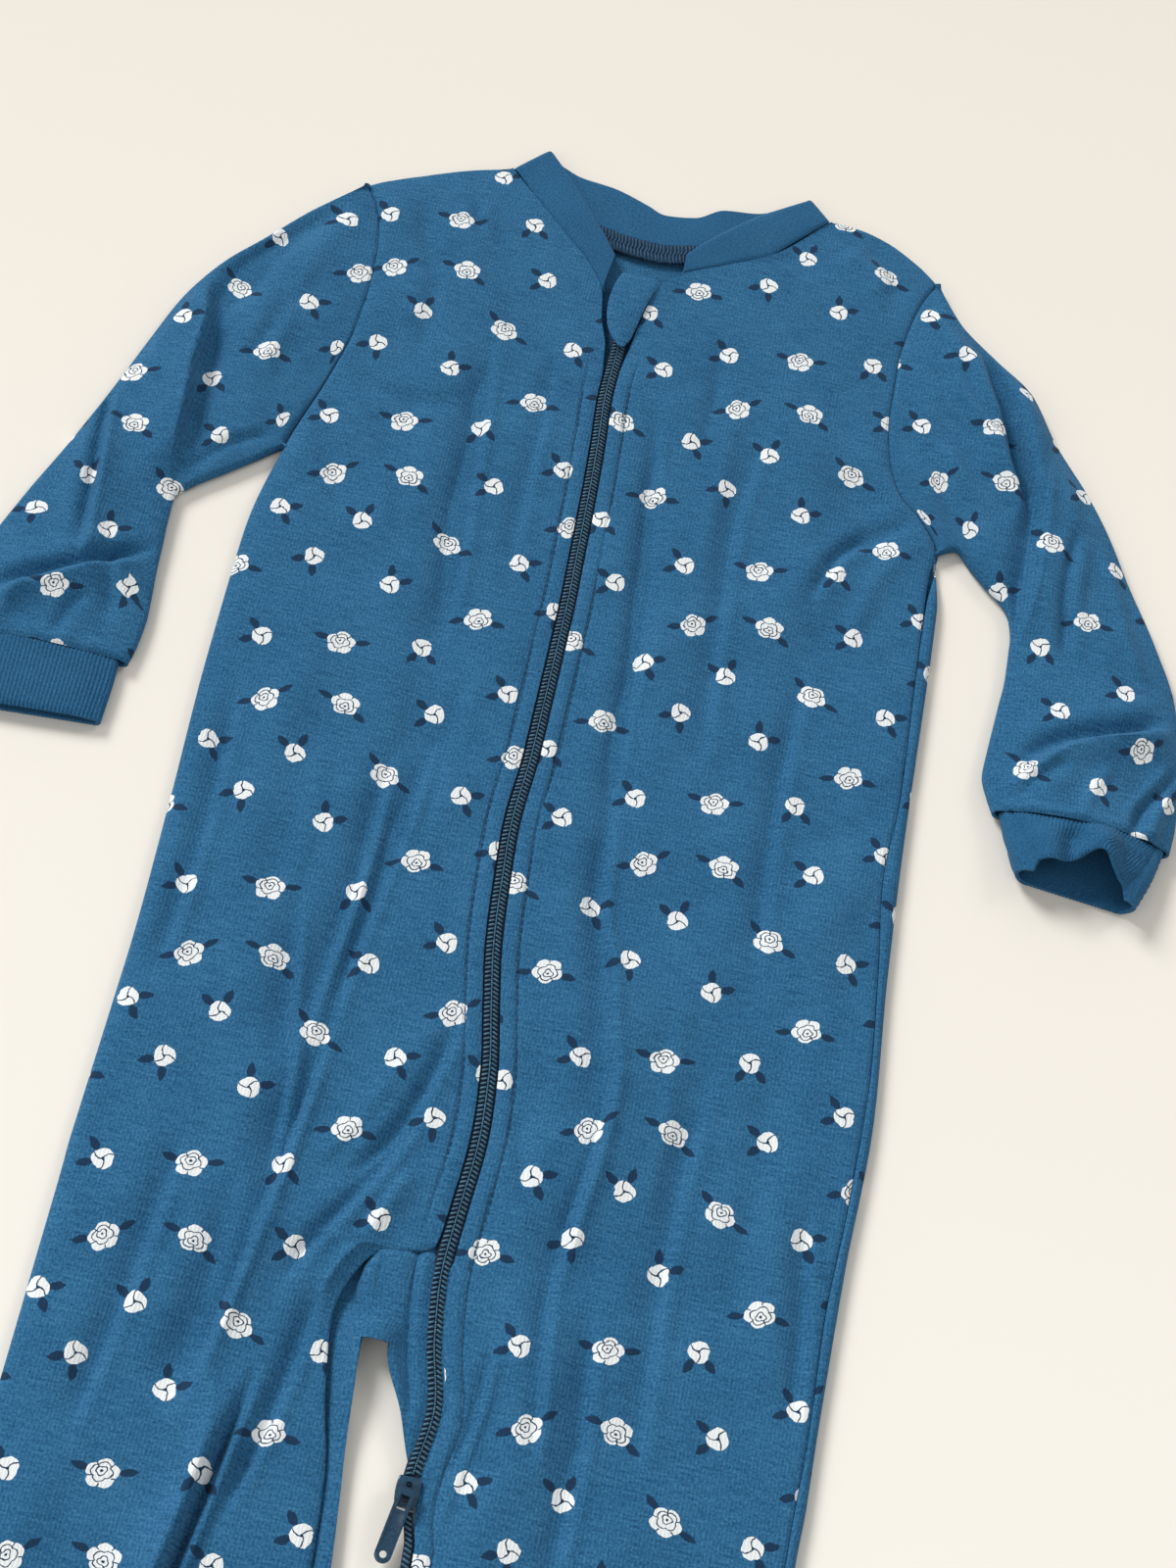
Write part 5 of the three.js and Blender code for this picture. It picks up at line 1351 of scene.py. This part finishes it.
def zipChain():
    bottom, top = coil["sliderY"] + coil["clear"], zipSizes["topY"]
    bedZ = zipSizes["topZ"] - coil["bedDrop"] - coil["bedSink"]
    bed = strip("chainBed", np.linspace(bottom, top, 240), zipX, zipSizes["half"] + coil["bedExtra"],
                bedZ, 1.4, 0.4, zipTape)
    ys = np.arange(bottom + 1, top, coil["pitch"])
    z = zipSizes["topZ"] - coil["radius"] + coil["above"]
    starts, ends = [], []
    for side in (-1, 1):
        y = ys + (coil["pitch"] / 2 if side > 0 else 0)
        x, half = zipX(y), coil["slant"] / 2
        starts.append(np.stack([x + side * coil["inner"], y + half, 0 * y + z], 1))
        ends.append(np.stack([x + side * coil["outer"], y - half, 0 * y + z - coil["sink"]], 1))
    loops = rods("chainLoops", np.concatenate(starts), np.concatenate(ends), coil["radius"], coilNylon)
    y = np.arange(bottom + 1, top, coil["pitch"] / 2)
    beads = [np.stack([zipX(y), y + run, 0 * y + z - coil["beadSink"]], 1) for run in (0, coil["bead"])]
    cord = rods("chainCord", *beads, coil["cord"], coilNylon)
    return joined([bed, loops, cord], "zipChainCoil")


def openRow(name, sizes, centre, side):
    bottom, top, z = cloth["hemY"] + 2, coil["sliderY"] - sizes["clear"], sizes["z"]
    bed = strip(name + "Bed", np.linspace(bottom, top, 90), centre, zipSizes["rowHalf"],
                z - coil["bedDrop"], 1.3, 0.2, zipTape)
    y = np.arange(bottom + 1, top - 0.5, coil["pitch"])
    x = centre(y)
    (inner, innerSink), (outer, outerSink) = openCoil["inner"], openCoil["outer"]
    starts = np.stack([x - side * inner, y + openCoil["slant"], 0 * y + z - innerSink], 1)
    ends = np.stack([x + side * outer, y - openCoil["slant"], 0 * y + z - outerSink], 1)
    loops = rods(name + "Loops", starts, ends, coil["radius"], coilNylon)
    return joined([bed, loops], name)


def frontRowX(y):
    return zipX(y) + zipSizes["rowShift"]


def backRowX(y):
    gapY, gapX = column(backRows, "gapY"), column(backRows, "gapRightX")
    return np.interp(y, gapY, gapX) - zipSizes["rowHalf"] - backOpen["inside"]


chain = zipChain()
rowFront = openRow("zipFrontRow", frontOpen, frontRowX, 1)
rowBack = openRow("zipBackRow", backOpen, backRowX, -1)
print("zip made")

# The flap that covers the zip's top end
garageRows = table("y leftX rightX crownZ",
    [67.5, -7.4, -5.2, 7.6], [72, -11, -3.2, 8.2], [78, -14, -2, 8.6], [88, -15.6, -0.4, 8.6],
    [98, -14.8, 1.6, 8.4], [105.5, -12.6, 2.6, 7.8])
garageRows["measured"] = [0]


def garagePiece():
    row = {k: v[:, None] for k, v in rowAt(garageRows, places(garageRows, 1.2)).items()}
    s = (0.5 - 0.5 * np.cos(np.linspace(0, math.pi, 26)))[None]
    x = mix(row["leftX"], row["rightX"], s)
    y = row["y"] + 0 * x
    z = mix(7.2, row["crownZ"], np.sin(math.pi * s) ** 0.5) + unevenness(x, y, 71, 16, 0.15)
    grid = np.stack([x, y, z], 2)
    piece = clothShell("garageCloth", grid, grid[..., :2], cloth["wall"], [plainJersey], printed=False)
    return piece


garage = garagePiece()


# The overlocked seam allowance inside the back neck: a strip under a run of looping thread. The strip's
# jersey is coloured far darker than the rest, as painted shade under the collar.
def allowancePiece():
    xs = np.linspace(-50, 48, 90)
    edge = np.array([backNeckY(x) for x in xs])
    s = np.linspace(0, 1, 7)
    y = edge[:, None] - 0.3 - 10 * s[None]
    x = np.repeat(xs[:, None], 7, 1)
    z = frontEdgeZ + 0.2 + 0.7 * s[None] + 0 * x
    grid = np.stack([x, y, z], 2)
    # its colour is painted shade, not a darker cloth
    piece = clothShell("allowanceCloth", grid, grid[..., :2], cloth["wall"], [paintedShadeKnit], printed=False)
    starts, ends = [], []
    rng = np.random.default_rng(5)
    for x0 in np.arange(-49.5, 47.5, 1.5):
        top = backNeckY(x0) - 1
        jitter = rng.uniform(-0.25, 0.25, 6)
        knots = [(x0, top), (x0 + 0.7 + jitter[0], top - 3 + jitter[3]), (x0 + 0.1 + jitter[1], top - 5.6),
                 (x0 + 0.8 + jitter[2], top - 8.6 + jitter[4])]
        for (ax, ay), (bx, by) in zip(knots, knots[1:]):
            starts.append([ax, ay, frontEdgeZ + 0.4 + (top - ay) * 0.07])
            ends.append([bx, by, frontEdgeZ + 0.4 + (top - by) * 0.07])
        starts.append([*knots[3], frontEdgeZ + 1])
        ends.append([x0 + 1.3, top - 9.2 + jitter[5], frontEdgeZ + 0.5])
    thread = rods("allowanceThread", starts, ends, 0.36, loopThread, 5)
    return piece, thread


allowance, overlock = allowancePiece()
print("neck made")


# The slider: two plates joined by a core, and an arch for the pull. The pull is a tab with a slot
# for the arch, a sunk panel and a hole.
sliderSizes = {
    "y": -397, "plate": (8, 10, 1.5), "topZ": 6.5, "core": (5.4, 9.2, 3.2), "coreZ": 4.25,
    "shoulder": 0.8, "flare": 0.1, "arch": (1.8, 1.0), "archRadius": 2.6, "archZ": 8.5,
    "round": 0.45, "smallRound": 0.3,
}
pullSizes = {
    "pinZ": 9.3, "bar": 0.75, "length": 23.5, "width": 5.6, "thick": 1.5, "slot": (2.9, 4.6),
    "slotFrom": 1.5, "hole": 1.15, "rim": 0.85, "sunk": 0.3, "panelTop": 1.1, "panelEnd": 1.2,
    "through": 4, "tilt": 14, "turn": -9, "round": 0.32,
}


def bevelled(piece, width, segments=3):
    selectOnly(piece)
    bevel = piece.modifiers.new("round", "BEVEL")
    bevel.width, bevel.segments, bevel.limit_method = width * mm, segments, "ANGLE"
    bevel.angle_limit = math.radians(35)
    bpy.ops.object.modifier_apply(modifier=bevel.name)
    smoothBy(piece, 40)


def addStart(addIt, shape, **settings):
    # a new primitive, with its size and place worked into its mesh
    bpy.ops.object.select_all(action="DESELECT")
    addIt(**settings)
    piece = bpy.context.object
    piece.data.transform(shape)
    return piece


def addBlock(name, size, place):
    shape = Matrix.Translation(Vector(place) * mm) @ Matrix.Diagonal([v * mm for v in size] + [1])
    block = addStart(bpy.ops.mesh.primitive_cube_add, shape, size=1)
    block.name = name
    return block


def combine(piece, other, operation):
    selectOnly(piece)
    change = piece.modifiers.new("combine", "BOOLEAN")
    change.operation, change.object, change.solver = operation, other, "EXACT"
    bpy.ops.object.modifier_apply(modifier=change.name)
    bpy.data.objects.remove(other)


def cover(piece, material):
    piece.data.materials.clear()
    piece.data.materials.append(material)


def sliderPiece():
    s = sliderSizes
    x = float(zipX(s["y"]))
    plates = addBlock("sliderBody", s["plate"], (x, s["y"], s["topZ"]))
    selectOnly(plates)
    bpy.ops.object.mode_set(mode="EDIT")
    bpy.ops.mesh.select_all(action="SELECT")
    bpy.ops.mesh.subdivide(number_cuts=3)
    bpy.ops.object.mode_set(mode="OBJECT")
    for v in plates.data.vertices:
        # broad shoulders at the neck end, drawn in to a waist and a narrower tail
        t = (v.co.y / mm - s["y"]) / (s["plate"][1] / 2)
        narrow = 1 - s["flare"] * max(0, t) ** 4 - (1 - s["shoulder"]) * max(0, -t) ** 1.5
        v.co.x = x * mm + (v.co.x - x * mm) * narrow
    core = addBlock("sliderCore", s["core"], (x, s["y"], s["coreZ"]))
    width, wall = s["arch"]
    start = Vector((x, s["y"] - s["archRadius"], s["topZ"]))
    shape = Matrix.Translation(start * mm) @ Matrix.Diagonal([width * mm, wall * mm, 1, 1])
    arch = addStart(bpy.ops.mesh.primitive_plane_add, shape, size=1)
    bpy.ops.object.mode_set(mode="EDIT")
    bpy.ops.mesh.select_all(action="SELECT")
    rise = (s["archZ"] - s["topZ"]) * mm
    bpy.ops.mesh.extrude_region_move(TRANSFORM_OT_translate={"value": (0, 0, rise)})
    centre = Vector((x, s["y"], s["archZ"])) * mm
    bpy.ops.mesh.spin(steps=14, angle=math.pi, center=centre, axis=(-1, 0, 0))
    bpy.ops.mesh.extrude_region_move(TRANSFORM_OT_translate={"value": (0, 0, -rise)})
    bpy.ops.mesh.select_all(action="SELECT")
    bpy.ops.mesh.normals_make_consistent(inside=False)
    bpy.ops.object.mode_set(mode="OBJECT")
    for part, width in ((plates, s["round"]), (core, s["smallRound"]), (arch, s["smallRound"])):
        bevelled(part, width)
        cover(part, enamel)
    return joined([plates, core, arch], "sliderBody")


def pullPiece():
    s = pullSizes
    half = s["width"] / 2
    straight = s["length"] - half
    size = (s["width"], straight + s["bar"], s["thick"])
    tab = addBlock("pullTab", size, (0, (s["bar"] - straight) / 2, 0))
    addRound = bpy.ops.mesh.primitive_cylinder_add
    end = Matrix.Translation((0, -straight * mm, 0))
    tip = addStart(addRound, end, vertices=40, radius=half * mm, depth=s["thick"] * mm)
    combine(tab, tip, "UNION")
    slotY = -s["slotFrom"] - s["slot"][1] / 2
    combine(tab, addBlock("slot", (*s["slot"], s["through"]), (0, slotY, 0)), "DIFFERENCE")
    hole = addStart(addRound, end, vertices=32, radius=s["hole"] * mm, depth=s["through"] * mm)
    combine(tab, hole, "DIFFERENCE")
    # the sunk panel between the slot and the hole, on both faces
    top = -s["slotFrom"] - s["slot"][1] - s["panelTop"]
    bottom = -straight + s["hole"] + s["panelEnd"]
    size = (s["width"] - 2 * s["rim"], top - bottom, 2 * s["sunk"])
    for side in (-1, 1):
        place = (0, (top + bottom) / 2, side * s["thick"] / 2)
        combine(tab, addBlock("panel", size, place), "DIFFERENCE")
    bevelled(tab, s["round"], 2)
    spin = Matrix.Rotation(math.radians(s["turn"]), 4, "Z")
    tilt = Matrix.Rotation(math.radians(s["tilt"]), 4, "X")
    pin = Vector((float(zipX(sliderSizes["y"])), sliderSizes["y"], s["pinZ"])) * mm
    tab.data.transform(Matrix.Translation(pin) @ (spin @ tilt))
    cover(tab, enamel)
    return tab


slider = sliderPiece()
pull = pullPiece()
print("slider and pull made")

# Topstitching beside the zip: short stitches in their groove
def topstitching():
    starts, ends = [], []
    length = topstitch["length"]
    for side, t, low, high in ((-1, rightFront, 10, 17), (1, leftFront, 0, 17)):
        row = frontRow(t, np.linspace(low, high, 1200), side)
        x, y = row["inX"] + side * topstitch["from"], row["inY"]
        run = np.concatenate([[0], np.cumsum(np.hypot(np.diff(x), np.diff(y)))])
        z = row["midZ"] * 0.75 + row["inZ"] * 0.25 - 0.1
        for at in np.arange(2, run[-1] - 4, length + topstitch["gap"]):
            a, b = [[np.interp(v, run, k) for k in (x, y, z)] for v in (at, at + length)]
            starts.append(a)
            ends.append(b)
    return rods("topstitching", starts, ends, topstitch["radius"], sewingThread, 5)


stitching = topstitching()

# The camera, where the photograph's was
camera = {
    "place": (3.7, -558.1, 807.8), "lens": 56.25, "sensor": 36,
    "right": (0.97377, 0.19236, 0.12151), "down": (0.22685, -0.86192, -0.45347),
    "forward": (0.0175, 0.46915, -0.88295),
}
view = bpy.data.cameras.new("camera")
view.lens, view.sensor_width, view.sensor_fit = camera["lens"], camera["sensor"], "AUTO"
eye = addToScene("camera", view)
axes = [camera["right"], [-v for v in camera["down"]], [-v for v in camera["forward"]]]
turnIt = Matrix(axes).transposed()
eye.matrix_world = Matrix.Translation(Vector(camera["place"]) * mm) @ turnIt.to_4x4()
view.clip_start = 0.01
bpy.context.scene.camera = eye

# The pale surface and the soft light
studio = {
    "floor": ("#f6f2e8", "#ede5d9"),  # near the camera, and beyond the neck: the step between them is a painted falloff of light
    "sky": "#f9f8f8", "skyStrength": 0.45,
    "windows": [("windowNear", (-0.85, 0.7, 0.75), 2.48), ("windowFar", (0.8, 0.8, 0.8), 0.5)],
    "spread": 20,
    "room": {"place": (-1.0, -1.4, 1.2), "power": 5.0, "size": 1.2},
}
justBelow = Matrix.Translation((0, 0, -0.0002))
floor = addStart(bpy.ops.mesh.primitive_plane_add, justBelow, size=8)
floor.name = "floorCloth"
material, tree, shader = newMaterial("paleSheet")
spot = addNode(tree, "TexCoord").node.outputs["Object"]
soft = addNode(tree, "TexNoise", {"Vector": spot, "Scale": 3.0, "Detail": 2.0})
# the sheet grows darker and warmer along Y, away from the camera: painted light falloff, with a little
# random tone
along = addNode(tree, "SeparateXYZ", [spot]).node.outputs["Y"]
along = addNode(tree, "Math", [along, 1.1, 0.35], operation="MULTIPLY_ADD")
along = addNode(tree, "Math", [soft, 0.2, along], operation="MULTIPLY_ADD")
ramp = addNode(tree, "ValToRGB", [along])
ramp.node.color_ramp.elements[0].color = hexColour(studio["floor"][0])
ramp.node.color_ramp.elements[1].color = hexColour(studio["floor"][1])
tree.links.new(ramp, shader.inputs["Base Color"])
shader.inputs["Roughness"].default_value = 0.95
shader.inputs["Specular IOR Level"].default_value = 0.1
floor.data.materials.append(material)
world = bpy.data.worlds.new("studio")
world.use_nodes = True
sky = world.node_tree.nodes["Background"]
sky.inputs["Color"].default_value = hexColour(studio["sky"])
sky.inputs["Strength"].default_value = studio["skyStrength"]
bpy.context.scene.world = world


def placeLamp(name, kind, place, energy):
    lamp = bpy.data.lights.new(name, kind)
    lamp.energy = energy
    holder = addToScene(name, lamp)
    holder.location = place
    holder.rotation_mode = "QUATERNION"
    holder.rotation_quaternion = Vector(place).to_track_quat("Z", "Y")
    return lamp


for name, place, strength in studio["windows"]:
    placeLamp(name, "SUN", place, strength).angle = math.radians(studio["spread"])
placeLamp("room", "AREA", studio["room"]["place"], studio["room"]["power"]).size = studio["room"]["size"]
bpy.context.scene.view_settings.view_transform = "Standard"
print("camera and light set")

# What each piece stands for and rides on
standsFor = [
    (frontRight, ["front_right"], "jersey"), (frontLeft, ["front_left"], "jersey"),
    (back, ["back"], "jersey"), (sleeveRight, ["sleeve_right"], "jersey"),
    (sleeveLeft, ["sleeve_left"], "jersey"), (cuffRight, ["cuff_right"], "rib"),
    (cuffLeft, ["cuff_left"], "rib"), (ankleRight, ["ankle_cuff_right"], "rib"),
    (ankleLeft, ["ankle_cuff_left"], "rib"), (collarBand, ["collar"], "rib"),
    (allowance, ["neck_allowance"], "rib"), (garage, ["zip_garage"], "rib"),
    (chain, ["zip_chain"], "zip_coil"), (rowFront, ["zip_row_front"], "zip_coil"),
    (rowBack, ["zip_row_back"], "zip_coil"), (stitching, [], "jersey"), (overlock, [], "rib"),
    (slider, ["slider"], "enamel"), (pull, ["pull_tab"], "enamel")]
for piece, nodes, slotName in standsFor:
    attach(piece, "pull" if piece is pull else "garment")
    if nodes:
        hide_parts(*nodes)
cover(bpy.data.objects["slider_top"], enamel)  # hidden in the zip garage

made = [piece for piece in bpy.data.objects if piece.type == "MESH" and piece.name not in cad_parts]
print(len(made), "pieces,", sum(len(p.data.loops) - 2 * len(p.data.polygons) for p in made), "triangles")
